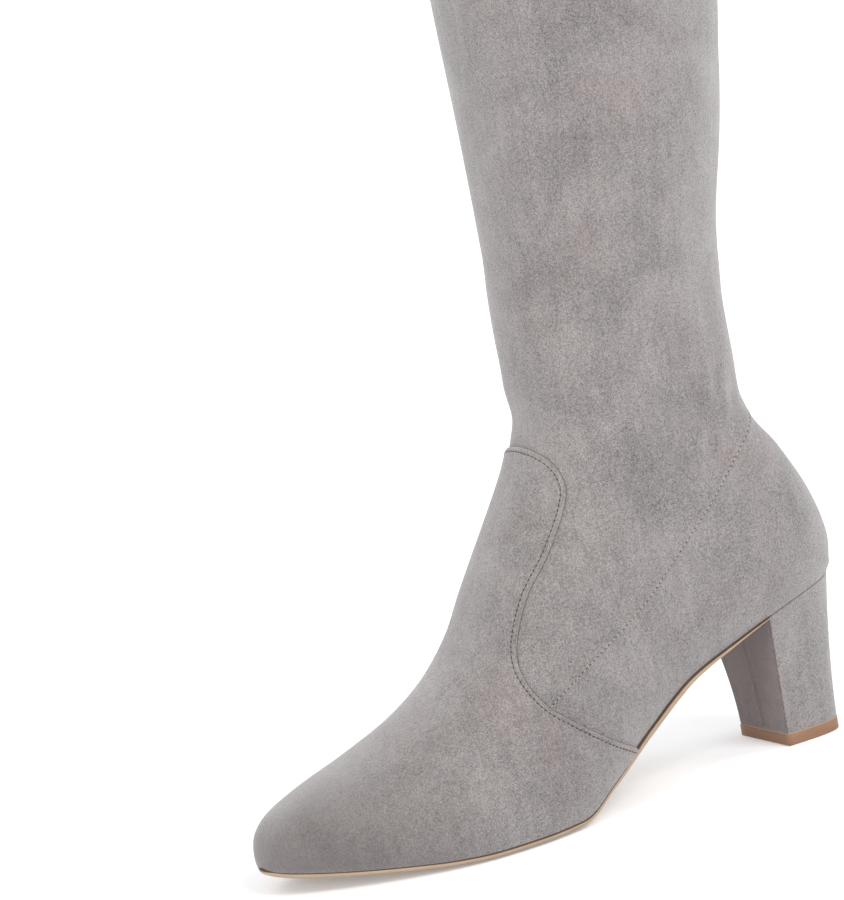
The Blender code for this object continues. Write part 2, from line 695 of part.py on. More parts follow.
def make_tape(parts):
    """The zip's tape behind the wall, reaching past the slot's top by a quarter of its width."""
    past = TAPE_WIDTH / 4 / zip_length()
    inner = np.concatenate([spread(ZIP_SLOT_WIDTH), spread(COIL_WIDTH)])
    across = np.concatenate([[-TAPE_WIDTH / 2], inner, [TAPE_WIDTH / 2]])
    sheet = zip_mesh("zip_tape", np.unique(across), 0, 1 + past, UPPER_WALL + TAPE_GAP, TAPE_FOOT_GAP)
    tape = new_object("zip_tape", sheet, parts)
    thicken(tape, TAPE_THICKNESS, -1)
    smooth(tape)
    return tape


def make_coil(parts):
    """The closed row of zip teeth, on the tape in the slot."""
    inside = (ZIP_SLOT_WIDTH - COIL_WIDTH) / 2 / zip_length()
    depth = UPPER_WALL + TAPE_GAP - 1.3 * FIT_GAP
    sheet = zip_mesh("zip_coil", spread(COIL_WIDTH), inside, 1 - inside, depth, TAPE_FOOT_GAP)
    coil = new_object("zip_coil", sheet, parts)
    thicken(coil, COIL_THICKNESS, 1)
    smooth(coil)
    return coil


def slider_frame():
    """World matrix at the slider: X down along the zip, Z out of the wall."""
    share = 1 - (SLIDER_LENGTH / 2 + FIT_GAP) / zip_length()
    reach = 0.01
    at = np.array([share, share - reach])
    points, normals = wall_point(*zip_place(at, np.zeros(2)), 0)
    out = Vector(normals[0]).normalized()
    down = Vector(points[1] - points[0])
    down = (down - out * down.dot(out)).normalized()
    turn = Matrix((down, out.cross(down), out)).transposed().to_4x4()
    return Matrix.Translation(Vector(points[0])) @ turn


BAR_HEIGHT = SLIDER_STANDOFF + SLIDER_PLATE + PULL_CLEARANCE + PULL_THICKNESS * 0.75


def box(name, low, high, collection):
    """A box between two corners, in its own frame."""
    mesh = bpy.data.meshes.new(name)
    shape = bmesh.new()
    bmesh.ops.create_cube(shape, size=1)
    for vertex in shape.verts:
        vertex.co = [low[i] + (vertex.co[i] + 0.5) * (high[i] - low[i]) for i in range(3)]
    shape.to_mesh(mesh)
    shape.free()
    return new_object(name, mesh, collection)


def make_slider(parts, cutters, frame):
    """The slider: a rounded plate with an arched bridge, which carries the pull."""
    half, side = SLIDER_LENGTH / 2, SLIDER_WIDTH / 2
    top = SLIDER_STANDOFF + SLIDER_PLATE
    slider = box("zip_slider", (-half, -side, SLIDER_STANDOFF), (half - 0.0008, side, top), parts)
    rounding = slider.modifiers.new("corners", "BEVEL")
    rounding.width = side * 0.55
    rounding.segments = 4
    rounding.limit_method = "WEIGHT"
    weight = slider.data.attributes.new("bevel_weight_edge", "FLOAT", "EDGE")
    for edge in slider.data.edges:
        ends = [slider.data.vertices[v].co for v in edge.vertices]
        weight.data[edge.index].value = float(abs(ends[0].z - ends[1].z) > SLIDER_PLATE / 2)
    crown = BAR_HEIGHT + PULL_THICKNESS * 0.75 + PULL_CLEARANCE
    long, wide = BRIDGE_LENGTH / 2, BRIDGE_WIDTH / 2
    low, high = (-long, -wide, top - SLIDER_PLATE / 2), (long, wide, crown + BRIDGE_BAR)
    arch = box("bridge", low, high, cutters)
    inner = long - BRIDGE_BAR
    hole = box("bridge_hole", (-inner, -2 * wide, top), (inner, 2 * wide, crown), cutters)
    cut(arch, hole, "DIFFERENCE")
    cut(slider, arch, "UNION")
    for thing in (slider, arch, hole):
        thing.matrix_world = frame
    for thing in (arch, hole):
        hide_cutter(thing)
    smooth(slider)
    return slider


def closed_outline(curve, points):
    """Adds one closed straight-sided outline to a curve."""
    spline_part = curve.splines.new("POLY")
    spline_part.points.add(len(points) - 1)
    for point, place in zip(spline_part.points, points):
        point.co = (*place, 0, 1)
    spline_part.use_cyclic_u = True


def make_pull(parts, frame):
    """The pull tab, hanging by its end bar from the bridge. Its origin is on that bar's axis."""
    curve = bpy.data.curves.new("zip_pull", "CURVE")
    curve.dimensions = "2D"
    curve.fill_mode = "BOTH"
    curve.extrude = PULL_THICKNESS / 2
    bar = PULL_THICKNESS / 2
    wide, narrow = PULL_WIDTH / 2, PULL_END_WIDTH / 2
    corner = narrow * 0.45
    tip = PULL_LENGTH - corner
    turns = np.linspace(-math.pi / 2, 0, 5)
    end = [(tip + corner * math.cos(a), -narrow + corner + corner * math.sin(a)) for a in turns]
    end += [(x, -y) for x, y in reversed(end)]
    waist = PULL_LENGTH * 0.28
    near = [(-bar, -wide * 0.8), (0, -wide), (waist, -wide)]
    outline = near + end + [(x, -y) for x, y in near[::-1]]
    closed_outline(curve, outline)
    eye_end = BRIDGE_LENGTH / 2 + 2 * BRIDGE_BAR
    eye_side = BRIDGE_WIDTH / 2 + 1.5 * PULL_CLEARANCE
    closed_outline(curve, [(bar, -eye_side), (eye_end, -eye_side), (eye_end, eye_side), (bar, eye_side)])
    window = PULL_LENGTH - 1.9 * PULL_WINDOW
    across = PULL_WINDOW * 0.45
    closed_outline(curve, [(window, -across), (window + PULL_WINDOW, -across),
                           (window + PULL_WINDOW, across), (window, across)])
    drawn = bpy.data.objects.new("zip_pull_outline", curve)
    parts.objects.link(drawn)
    found = drawn.evaluated_get(bpy.context.evaluated_depsgraph_get())
    mesh = bpy.data.meshes.new_from_object(found)
    bpy.data.objects.remove(drawn)
    shape = bmesh.new()
    shape.from_mesh(mesh)
    bmesh.ops.remove_doubles(shape, verts=shape.verts, dist=1e-5)
    bmesh.ops.recalc_face_normals(shape, faces=shape.faces)
    shape.to_mesh(mesh)
    shape.free()
    pull = new_object("zip_pull", mesh, parts)
    hang = math.atan2(-frame.col[2].z, -frame.col[0].z)
    turn = Matrix.Rotation(-hang, 4, "Y")
    pull.matrix_world = frame @ Matrix.Translation((0, 0, BAR_HEIGHT)) @ turn
    smooth(pull)
    return pull


def main():
    """Builds the boot's pieces."""
    for thing in list(bpy.data.objects):
        bpy.data.objects.remove(thing)
    parts = bpy.data.collections.new("thigh_high_boot")
    cutters = bpy.data.collections.new("cutters")
    for collection in (parts, cutters):
        bpy.context.scene.collection.children.link(collection)
    frame = slider_frame()
    pieces = {
        "suede": [make_upper(parts, cutters), make_vamp(parts, cutters), make_heel(parts)],
        "insole": [make_insole(parts)],
        "sole": [make_outsole(parts, cutters)],
        "lift": [make_lift(parts)],
        "zip": [make_tape(parts), make_coil(parts)],
        "gunmetal": [make_slider(parts, cutters, frame), make_pull(parts, frame)],
    }
    finishes = {
        "suede": ((0.38, 0.35, 0.33), 0.95),
        "insole": ((0.45, 0.42, 0.39), 0.9),
        "sole": ((0.60, 0.38, 0.22), 0.55),
        "lift": ((0.38, 0.19, 0.09), 0.5),
        "zip": ((0.07, 0.065, 0.075), 0.6),
        "gunmetal": ((0.32, 0.31, 0.32), 0.3, 1.0),
    }
    for finish, things in pieces.items():
        for thing in things:
            thing.data.materials.append(plain_material(thing.name, *finishes[finish]))


main()
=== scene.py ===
import math

import bmesh
import bpy
import numpy as np
from mathutils import Matrix, Vector
from mathutils.bvhtree import BVHTree
from mathutils.kdtree import KDTree


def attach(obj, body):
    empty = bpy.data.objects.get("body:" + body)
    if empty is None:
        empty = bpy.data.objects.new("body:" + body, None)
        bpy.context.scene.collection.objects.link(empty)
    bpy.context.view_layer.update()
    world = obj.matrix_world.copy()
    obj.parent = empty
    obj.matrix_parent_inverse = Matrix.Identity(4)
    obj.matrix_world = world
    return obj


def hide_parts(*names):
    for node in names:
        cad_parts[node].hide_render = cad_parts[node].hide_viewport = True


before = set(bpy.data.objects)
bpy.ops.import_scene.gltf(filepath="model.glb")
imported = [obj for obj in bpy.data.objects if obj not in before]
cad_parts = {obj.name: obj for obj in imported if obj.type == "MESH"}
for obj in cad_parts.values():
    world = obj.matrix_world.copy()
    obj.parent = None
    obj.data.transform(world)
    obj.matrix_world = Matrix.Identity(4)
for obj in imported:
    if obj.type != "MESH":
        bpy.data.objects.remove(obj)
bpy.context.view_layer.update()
BOOT = "boot"
RNG = np.random.default_rng(7)

# The boot's sizes in metres and its section tables, the same as in the solids
FOOT_LENGTH = 0.2515
BALL_WIDTH = 0.077
SEAT_HEIGHT = 0.0612
TOE_SPRING = 0.0070
INSTEP_HEIGHT = 0.150
SOLE_STACK = 0.0038  # outsole and the gap over it
COLLAR_HEIGHT = 0.640
CALF_HEIGHT = 0.335
CALF_DEPTH = 0.116
CALF_WIDTH = 0.100
LEG_SETBACK = 0.067
HEM_WIDTH = 0.022
HEM_STEP = 0.0008
UPPER_WALL = 0.0016
LASTING_MARGIN = 0.010
PANEL_LIFT = 0.0013  # the vamp's outer face above the upper
BREAST_SHARE = 0.161
HEEL_SWEEP = 1.6
LIFT_THICKNESS = 0.0045
LIFT_LENGTH = 0.0276
LIFT_WIDTH = 0.0340
LIFT_SETBACK = 0.0079
LIFT_SQUARENESS = 4.0
ZIP_FOOT_SETBACK = 0.0690
ZIP_TOP_SETBACK = 0.0520
ZIP_FOOT_GAP = 0.0050
ZIP_TOP_HEIGHT = 0.2580
HEEL_BACK = -(LIFT_SETBACK + LIFT_LENGTH / 2)
BREAST = HEEL_BACK + BREAST_SHARE * FOOT_LENGTH

FOOT_COLUMNS = ("bottom_x", "rise", "spring", "top_x", "top_rise", "sole_half", "half_width",
                "bottom_shift", "top_shift", "front_round", "back_round")
FOOT_SECTIONS = (
    (1.000, 0.000, 1.00, 1.000, 0.046, 0.000, 0.000, -0.17, -0.17, 0.95, 0.50),
    (0.986, 0.000, 0.90, 0.995, 0.085, 0.250, 0.262, -0.17, -0.17, 0.95, 0.50),
    (0.952, 0.000, 0.74, 0.987, 0.128, 0.460, 0.480, -0.15, -0.16, 0.95, 0.50),
    (0.904, 0.000, 0.54, 0.960, 0.170, 0.640, 0.665, -0.10, -0.13, 0.95, 0.50),
    (0.844, 0.000, 0.32, 0.899, 0.213, 0.800, 0.830, -0.04, -0.10, 0.95, 0.50),
    (0.776, 0.000, 0.10, 0.816, 0.257, 0.925, 0.960, 0.02, -0.07, 0.95, 0.50),
    (0.710, 0.000, 0.00, 0.731, 0.317, 0.980, 1.020, 0.06, -0.05, 0.95, 0.50),
    (0.632, 0.000, 0.00, 0.665, 0.393, 0.965, 1.020, 0.08, -0.04, 0.92, 0.50),
    (0.560, 0.010, 0.00, 0.616, 0.492, 0.900, 0.985, 0.08, -0.03, 0.88, 0.50),
    (0.484, 0.176, 0.00, 0.585, 0.590, 0.800, 0.930, 0.06, -0.02, 0.80, 0.45),
    (0.400, 0.410, 0.00, 0.557, 0.672, 0.715, 0.880, 0.04, -0.01, 0.70, 0.42),
    (0.312, 0.642, 0.00, 0.530, 0.746, 0.680, 0.850, 0.02, 0.00, 0.58, 0.40),
    (0.224, 0.784, 0.00, 0.503, 0.815, 0.690, 0.835, 0.01, 0.00, 0.48, 0.36),
    (0.136, 0.900, 0.00, 0.484, 0.870, 0.670, 0.825, 0.00, 0.00, 0.42, 0.32),
    (0.062, 0.970, 0.00, 0.472, 0.918, 0.560, 0.820, 0.00, 0.00, 0.39, 0.29),
    (0.016, 0.996, 0.00, 0.465, 0.962, 0.330, 0.820, 0.00, 0.00, 0.38, 0.27),
    (0.000, 1.000, 0.00, 0.463, 0.998, 0.000, 0.820, 0.00, 0.00, 0.38, 0.26),
)

SHAFT_COLUMNS = ("back", "back_level", "front", "front_level", "half_width", "front_round", "back_round")
SHAFT_SECTIONS = (
    (-1.172, 0.045, 0.850, 0.350, 0.635, 0.38, 0.26),
    (-1.090, 0.110, 0.857, 0.388, 0.640, 0.39, 0.28),
    (-0.925, 0.180, 0.859, 0.430, 0.645, 0.41, 0.32),
    (-0.730, 0.247, 0.854, 0.480, 0.655, 0.45, 0.38),
    (-0.708, 0.325, 0.844, 0.540, 0.675, 0.48, 0.44),
    (-0.705, 0.415, 0.837, 0.608, 0.710, 0.50, 0.48),
    (-0.750, 0.520, 0.836, 0.682, 0.765, 0.50, 0.50),
    (-0.880, 0.650, 0.838, 0.771, 0.850, 0.50, 0.50),
    (-1.000, 0.810, 0.843, 0.876, 0.935, 0.50, 0.50),
    (-1.080, 1.000, 0.858, 1.010, 0.990, 0.50, 0.50),
    (-1.060, 1.220, 0.885, 1.220, 0.985, 0.50, 0.50),
    (-1.000, 1.450, 0.925, 1.450, 1.000, 0.50, 0.50),
    (-1.040, 1.720, 0.985, 1.720, 1.090, 0.50, 0.50),
    (-1.130, 2.000, 1.050, 2.000, 1.200, 0.50, 0.50),
)

# The vamp's edge, with x as a share of FOOT_LENGTH and z as a share of INSTEP_HEIGHT
VAMP_EDGE = (
    (0.560, 0.969),
    (0.500, 0.949),
    (0.468, 0.907),
    (0.455, 0.852),
    (0.462, 0.790),
    (0.506, 0.676),
    (0.554, 0.576),
    (0.588, 0.470),
    (0.596, 0.398),
    (0.580, 0.326),
    (0.545, 0.270),
    (0.493, 0.203),
    (0.440, 0.151),
    (0.380, 0.095),
)

HEEL_ROW = len(FOOT_SECTIONS) - 1
COLLAR_ROW = HEEL_ROW + len(SHAFT_SECTIONS)
ANKLE_ROW = HEEL_ROW + 5  # from here up a ring is one section


def level_height(level):
    """Height of a level of the shaft: 0 at the seat, 1 at the calf, 2 at the collar."""
    return np.interp(level, (0, 1, 2), (SEAT_HEIGHT, CALF_HEIGHT, COLLAR_HEIGHT))


def section_table():
    """The two tables in metres, as one array for each quantity."""
    foot = dict(zip(FOOT_COLUMNS, np.array(FOOT_SECTIONS).T))
    shaft = dict(zip(SHAFT_COLUMNS, np.array(SHAFT_SECTIONS).T))
    none = np.zeros(len(SHAFT_SECTIONS))
    axis = HEEL_BACK + LEG_SETBACK
    foot_side = {
        "bottom_x": HEEL_BACK + foot["bottom_x"] * FOOT_LENGTH,
        "bottom_z": SOLE_STACK + foot["rise"] * (SEAT_HEIGHT - SOLE_STACK) + foot["spring"] * TOE_SPRING,
        "top_x": HEEL_BACK + foot["top_x"] * FOOT_LENGTH,
        "top_z": SOLE_STACK + foot["top_rise"] * (INSTEP_HEIGHT - SOLE_STACK),
        "sole_half": foot["sole_half"] * BALL_WIDTH / 2,
        "half_width": foot["half_width"] * BALL_WIDTH / 2,
        "bottom_shift": foot["bottom_shift"] * BALL_WIDTH / 2,
        "top_shift": foot["top_shift"] * BALL_WIDTH / 2,
        "front_round": foot["front_round"],
        "back_round": foot["back_round"],
    }
    foot_side["top_z"][0] = foot_side["bottom_z"][0]
    shaft_side = {
        "bottom_x": axis + shaft["back"] * CALF_DEPTH / 2,
        "bottom_z": level_height(shaft["back_level"]),
        "top_x": axis + shaft["front"] * CALF_DEPTH / 2,
        "top_z": level_height(shaft["front_level"]),
        "sole_half": none,
        "half_width": shaft["half_width"] * CALF_WIDTH / 2,
        "bottom_shift": none,
        "top_shift": none,
        "front_round": shaft["front_round"],
        "back_round": shaft["back_round"],
    }
    return {name: np.concatenate([foot_side[name], shaft_side[name]]) for name in foot_side}


TABLE = section_table()
CORNERED = ("bottom_x", "bottom_z", "sole_half")  # these turn a corner at the back of the heel


def even_slopes(values):
    """Slopes for a curve that rounds its ends and keeps level stretches level."""
    steps = np.diff(values)
    slopes = np.zeros_like(values)
    before, after = steps[:-1], steps[1:]
    same_way = before * after > 0
    slopes[1:-1][same_way] = (2 * before * after / (before + after + (before + after == 0)))[same_way]
    return slopes


def spline(values, at, slopes=None):
    """A smooth curve through evenly spaced values, read at the fractional rows given."""
    slopes = np.gradient(values) if slopes is None else slopes
    row = np.clip(np.floor(at).astype(int), 0, len(values) - 2)
    t = at - row
    return (values[row] * (1 + 2 * t) * (1 - t) ** 2 + slopes[row] * t * (1 - t) ** 2
            + values[row + 1] * t * t * (3 - 2 * t) + slopes[row + 1] * t * t * (t - 1))


def column(name, row):
    """One quantity of the sections, at any fractional row."""
    row = np.clip(np.asarray(row, float), 0, COLLAR_ROW)
    values = TABLE[name]
    if name not in CORNERED:
        return spline(values, row)
    foot = values[: HEEL_ROW + 1]
    slopes = even_slopes(foot) if name == "bottom_z" else np.gradient(foot)
    if name == "bottom_x":
        slopes[0] = slopes[-1] = 0  # the tip and the heel are round in plan
    foot = spline(foot, np.minimum(row, HEEL_ROW), slopes)
    shaft = spline(values[HEEL_ROW:], np.maximum(row - HEEL_ROW, 0))
    return np.where(row <= HEEL_ROW, foot, shaft)


def round_off(depth, exponent=2.0):
    """Half width at a depth inside the edge: 0 at the edge, 1 from a depth of 1 on."""
    return (1 - (1 - np.clip(depth, 0, 1)) ** exponent) ** (1 / exponent)


def half_width(row, share):
    """Half width on a section, at a share of its length from the bottom or back."""
    widest = column("half_width", row)
    sole = np.minimum(np.clip(column("sole_half", row), 0, None) / np.maximum(widest, 1e-9), 1)
    back = column("back_round", row)
    start = back * (1 - (1 - sole**2) ** 0.5)
    front = round_off((1 - share) / column("front_round", row), 2.2)
    return widest * front * round_off((share + start) / back)


def middle(row, share):
    """Y of the middle of a section, at a share of its length."""
    return column("bottom_shift", row) * (1 - share) + column("top_shift", row) * share


def ahead_of(row, x, z):
    """Above 0 where the point of the side view lies in front of the section."""
    start_x, start_z = column("bottom_x", row), column("bottom_z", row)
    along_x, along_z = column("top_x", row) - start_x, column("top_z", row) - start_z
    return along_z * (x - start_x) - along_x * (z - start_z)


def halve(is_low, length, top_row):
    """Finds the fractional row at which a test that starts true turns false."""
    low, high = np.zeros(length), np.full(length, float(top_row))
    for _ in range(36):
        row = (low + high) / 2
        still = is_low(row)
        low = np.where(still, row, low)
        high = np.where(still, high, row)
    return (low + high) / 2


def locate(x, z):
    """The section through a point of the side view, as its fractional row, and the share along it."""
    row = halve(lambda r: ahead_of(r, x, z) <= 0, len(x), COLLAR_ROW)
    start = np.stack([column("bottom_x", row), column("bottom_z", row)])
    along = np.stack([column("top_x", row), column("top_z", row)]) - start
    share = ((np.stack([x, z]) - start) * along).sum(0) / np.maximum((along**2).sum(0), 1e-12)
    return row, np.clip(share, 0, 1)


def skin(x, z, side):
    """The upper's outer surface over a point of the side view. side is 1 outside, -1 inside."""
    row, share = locate(x, z)
    return np.stack([x, middle(row, share) + side * half_width(row, share), z], axis=-1)


def crowd_ends(count):
    """Shares from 0 to 1, crowded towards both ends."""
    return (1 - np.cos(np.linspace(0, math.pi, count))) / 2


SOLE_X = HEEL_BACK + crowd_ends(300) * FOOT_LENGTH
SOLE_Z = column("bottom_z", halve(lambda r: column("bottom_x", r) > SOLE_X, len(SOLE_X), HEEL_ROW))


def sole_height(x):
    """Height of the upper's underside at an x."""
    return np.interp(x, SOLE_X, SOLE_Z)


def off_sole(x, gap):
    """Height that stands a gap off the sole line, measured square to it."""
    return gap * np.hypot(1, np.interp(x, SOLE_X, np.gradient(SOLE_Z, SOLE_X)))


def sole_edge(x, outset):
    """The two edges of the sole at each x, moved outwards in plan. Lateral edge first."""
    edges = []
    rows = halve(lambda r: column("bottom_x", r) > x, len(x), HEEL_ROW)
    for side in (1, -1):
        near, low, high = (np.stack([column("bottom_x", row), column("bottom_shift", row)
                                     + side * column("sole_half", row)], axis=-1)
                           for row in (np.clip(rows + step, 0, HEEL_ROW) for step in (0, -1e-3, 1e-3)))
        along = low - high
        along /= np.linalg.norm(along, axis=-1)[:, None]
        moved = near + outset * side * np.stack([-along[:, 1], along[:, 0]], axis=-1)
        edges.append(np.column_stack([moved, sole_height(moved[:, 0])]))
    return edges


def closed_ring(x, z):
    """A ring round the boot from its side view, outer side back to front and inner side back again."""
    outer, inner = skin(x, z, 1), skin(x, z, -1)
    for end in (0, -1):
        outer[end, 1] = (outer[end, 1] + inner[end, 1]) / 2
    return np.concatenate([outer, inner[-2:0:-1]])


def foot_ring(turn, count):
    """A ring of the foot. turn runs from 0, the sole's edge, to 1, the ankle."""
    back, front = HEEL_ROW + turn * (ANKLE_ROW - HEEL_ROW), turn * ANKLE_ROW
    start = np.array([column("bottom_x", back), column("bottom_z", back)])
    end = np.array([column("top_x", front), column("top_z", front)])
    share = crowd_ends(count)
    base = np.interp(HEEL_BACK + share * FOOT_LENGTH, SOLE_X, SOLE_Z)
    chord = base[0] + (base[-1] - base[0]) * share
    x = start[0] + (end[0] - start[0]) * share
    return closed_ring(x, start[1] + (end[1] - start[1]) * share + (base - chord) * (1 - turn) ** 1.5)


def shaft_ring(row, count):
    """A ring along one section of the shaft."""
    share = crowd_ends(count)
    x = column("bottom_x", row) * (1 - share) + column("top_x", row) * share
    return closed_ring(x, column("bottom_z", row) * (1 - share) + column("top_z", row) * share)


def unit(v):
    """Vectors scaled to length 1."""
    return v / np.maximum(np.linalg.norm(v, axis=-1, keepdims=True), 1e-12)


def ring_normals(grid):
    """Outward normals of a grid that is closed round its second index."""
    normal = unit(np.cross(np.gradient(grid, axis=0), np.roll(grid, -1, axis=1) - np.roll(grid, 1, axis=1)))
    return normal * np.sign(((grid - grid.mean(axis=1, keepdims=True)) * normal).sum(-1).mean())


# Relief of the upper: soft troughs and ridges listed one by one, then a faint waviness
def wave(points, waves, shortest, longest, seed):
    """A smooth random height between about -1 and 1."""
    random = np.random.default_rng(seed)
    total = np.zeros(points.shape[:-1])
    for _ in range(waves):
        way = unit(random.normal(size=3))
        length = random.uniform(shortest, longest)
        total += np.sin(points @ way * 2 * math.pi / length + random.uniform(0, 2 * math.pi))
    return total / math.sqrt(waves)


CREASES = (
    # width, depth, then the line as (x, y, z), all in mm. A depth under 0 is a ridge.
    (5.0, 0.9, ((92, 20, 146), (101, 0, 147), (92, -20, 146))),
    (6.0, -0.6, ((88, 24, 157), (98, 0, 158), (88, -24, 157))),
    (6.0, 0.8, ((5, 17, 128), (1, 16, 152), (4, 17, 176))),
    (7.0, -0.5, ((16, 26, 132), (13, 26, 158), (14, 28, 182))),
    (6.0, 0.5, ((26, 30, 150), (24, 30, 178), (28, 32, 206))),
    (6.0, 0.8, ((6, -17, 132), (2, -16, 152), (6, -17, 172))),
    (6.0, -0.4, ((20, -27, 138), (18, -27, 164), (22, -29, 190))),
    (2.6, 0.85, ((25, 30, 151), (29, 32, 141), (32, 32, 132), (35, 32, 123))),
    (2.6, -0.50, ((21, 29, 151), (25, 31.5, 141), (28, 32, 132), (31, 32, 123))),
    (2.8, 0.75, ((15, 26, 146), (19, 28.5, 140), (23.5, 32, 132), (28, 32, 124), (32, 32, 115))),
    (3.2, 0.60, ((34, 31, 158), (36, 32, 146), (39, 32, 134))),
    (7.0, 0.6, ((70, 30, 176), (80, 22, 192), (88, 10, 204))),
    (7.0, 0.5, ((72, -29, 184), (82, -20, 200), (89, -8, 210))),
    (9.0, 0.6, ((2, 26, 262), (-6, 14, 276), (-8, 0, 282))),
    (9.0, 0.6, ((0, -30, 330), (-12, -16, 342), (-14, 0, 346))),
    (10.0, 0.7, ((60, 42, 392), (30, 48, 402), (0, 34, 396))),
    (10.0, 0.6, ((70, -38, 412), (36, -47, 420), (4, -36, 410))),
    (11.0, 0.6, ((84, 26, 452), (98, 8, 446), (96, -14, 450))),
)


def to_line(points, line):
    """Distance of points to a line of straight pieces."""
    nearest = np.full(points.shape[:-1], np.inf)
    for a, b in zip(line, line[1:]):
        way = b - a
        share = np.clip(((points - a) @ way) / (way @ way), 0, 1)
        nearest = np.minimum(nearest, np.linalg.norm(points - a - share[..., None] * way, axis=-1))
    return nearest


def relief(points):
    """How far the upper's skin stands above or below its plain form."""
    height = 0.00016 * wave(points, 10, 0.030, 0.080, 3)
    for width, depth, line in CREASES:
        far = to_line(points, np.array(line, float) / 1000) / (width / 1000)
        height -= depth / 1000 * np.exp(-far**2)
    quiet = np.clip((points[..., 2] - sole_height(points[..., 0])) / 0.012, 0, 1)
    hem = np.clip((points[..., 2] - (COLLAR_HEIGHT - HEM_WIDTH)) / 0.0015, 0, 1)
    return height * quiet * quiet * (3 - 2 * quiet) + HEM_STEP * hem


class Surface:
    """A mesh that points can be dropped onto, with smooth normals."""

    def __init__(self, points, normals, triangles):
        self.points, self.normals = points, normals
        self.triangles = np.array(triangles)
        self.tree = BVHTree.FromPolygons([tuple(p) for p in points], [tuple(t) for t in triangles])

    def drop(self, points):
        """The nearest places on the surface, and the normals there."""
        places, found = np.zeros_like(points), np.zeros(len(points), int)
        for k, point in enumerate(points):
            place, _, index, _ = self.tree.find_nearest(Vector(point))
            places[k], found[k] = place, index
        corners = self.triangles[found]
        a, b, c = (self.points[corners[:, i]] for i in range(3))
        area = np.cross(b - a, c - a)
        size = np.maximum((area * area).sum(-1), 1e-30)
        u = (np.cross(c - b, places - b) * area).sum(-1) / size
        v = (np.cross(a - c, places - c) * area).sum(-1) / size
        share = np.stack([u, v, 1 - u - v], axis=-1)
        normal = (self.normals[corners] * share[..., None]).sum(1)
        return places, unit(normal)


def new_piece(name, points, faces, materials, slot, closed=False, body=BOOT):
    """A smooth mesh piece on a body. A closed one is welded, with its faces turned out."""
    mesh = bpy.data.meshes.new(name)
    mesh.from_pydata([tuple(p) for p in points], [], [tuple(f) for f in faces])
    if closed:
        shape = bmesh.new()
        shape.from_mesh(mesh)
        bmesh.ops.remove_doubles(shape, verts=shape.verts, dist=2e-6)
        bmesh.ops.recalc_face_normals(shape, faces=shape.faces)
        shape.to_mesh(mesh)
        shape.free()
    mesh.shade_smooth()
    piece = bpy.data.objects.new(name, mesh)
    bpy.context.scene.collection.objects.link(piece)
    for material in materials if isinstance(materials, (list, tuple)) else [materials]:
        mesh.materials.append(material)
    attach(piece, body)
    return piece


def quads(rows, columns, closed=False, first=0):
    """Faces over a grid of points."""
    last = columns if closed else columns - 1
    return [(first + i * columns + k, first + i * columns + (k + 1) % columns,
             first + (i + 1) * columns + (k + 1) % columns, first + (i + 1) * columns + k)
            for i in range(rows - 1) for k in range(last)]


def halves(faces):
    """Triangles from faces with more corners."""
    return [(f[0], f[k], f[k + 1]) for f in faces for k in range(1, len(f) - 1)]


def lathe(points, faces, centres, axes, sizes, around):
    """Adds a closed bead: a ring of points about each centre, along two axes, by the sizes along them."""
    first = len(points)
    for centre, one, two, (wide, high) in zip(centres, *axes, sizes):
        for k in range(around):
            turn = 2 * math.pi * k / around
            points.append(centre + wide * math.cos(turn) * one + high * math.sin(turn) * two)
    last = first + (len(centres) - 1) * around
    faces += quads(len(centres), around, True, first)
    faces.append(tuple(first + k for k in range(around))[::-1])
    faces.append(tuple(last + k for k in range(around)))


def capped(outlines):
    """Points and faces of a closed loft, with a centre point added to each end."""
    rows, count = outlines.shape[:2]
    points = np.concatenate([outlines.reshape(-1, 3), [outlines[0].mean(0)], [outlines[-1].mean(0)]])
    faces = quads(rows, count, True)
    first, last_row = rows * count, (rows - 1) * count
    faces += [((k + 1) % count, k, first) for k in range(count)]
    faces += [(last_row + k, last_row + (k + 1) % count, first + 1) for k in range(count)]
    return points, faces


def resample(line, step, closed=False):
    """A line of points at an even spacing, with its running length."""
    line = np.array(line, float)
    if closed:
        line = np.concatenate([line, line[:1]])
    run = np.concatenate([[0], np.cumsum(np.linalg.norm(np.diff(line, axis=0), axis=1))])
    count = max(int(round(run[-1] / step)), 2)
    at = np.linspace(0, run[-1], count + 1)
    if closed:
        at = at[:-1]
    return np.stack([np.interp(at, run, line[:, i]) for i in range(3)], axis=-1), at


def soften(line, times, closed=False):
    """A line with its kinks eased out."""
    for _ in range(times):
        eased = (np.roll(line, 1, axis=0) + 2 * line + np.roll(line, -1, axis=0)) / 4
        if not closed:
            eased[0], eased[-1] = line[0], line[-1]
        line = eased
    return line


def frames(surface, line, closed=False):
    """The places of a line on a surface and the directions across it there."""
    places, normals = surface.drop(line)
    if closed:
        along = np.roll(places, -1, axis=0) - np.roll(places, 1, axis=0)
    else:
        along = np.gradient(places, axis=0)
    return places, unit(np.cross(unit(soften(normals, 6, closed)), unit(along)))


def ribbon(name, surface, line, profile, material, step=0.0007, pitch=0.0, pucker=0.0):
    """A strip along a line. profile is a table of distance across and height, in mm.

    pucker lets the heights swell between stitches of the given pitch.
    """
    line, at = resample(line, step)
    places, across = frames(surface, soften(line, 4))
    level = np.ones(len(at))
    swell = level + pucker * np.cos(2 * math.pi * at / pitch) if pitch else level
    rows = []
    for distance, height in profile:
        dropped, up = surface.drop(places + across * distance / 1000)
        lift = height / 1000 * (swell if height > 0 else level)
        rows.append(dropped + up * lift[:, None])
    faces = [f[::-1] for f in quads(len(profile), len(at))]
    return new_piece(name, np.array(rows).reshape(-1, 3), faces, material, "suede")


STITCH_RINGS = 5
STITCH_DIP = 0.00022  # a stitch's ends lie this far under its middle


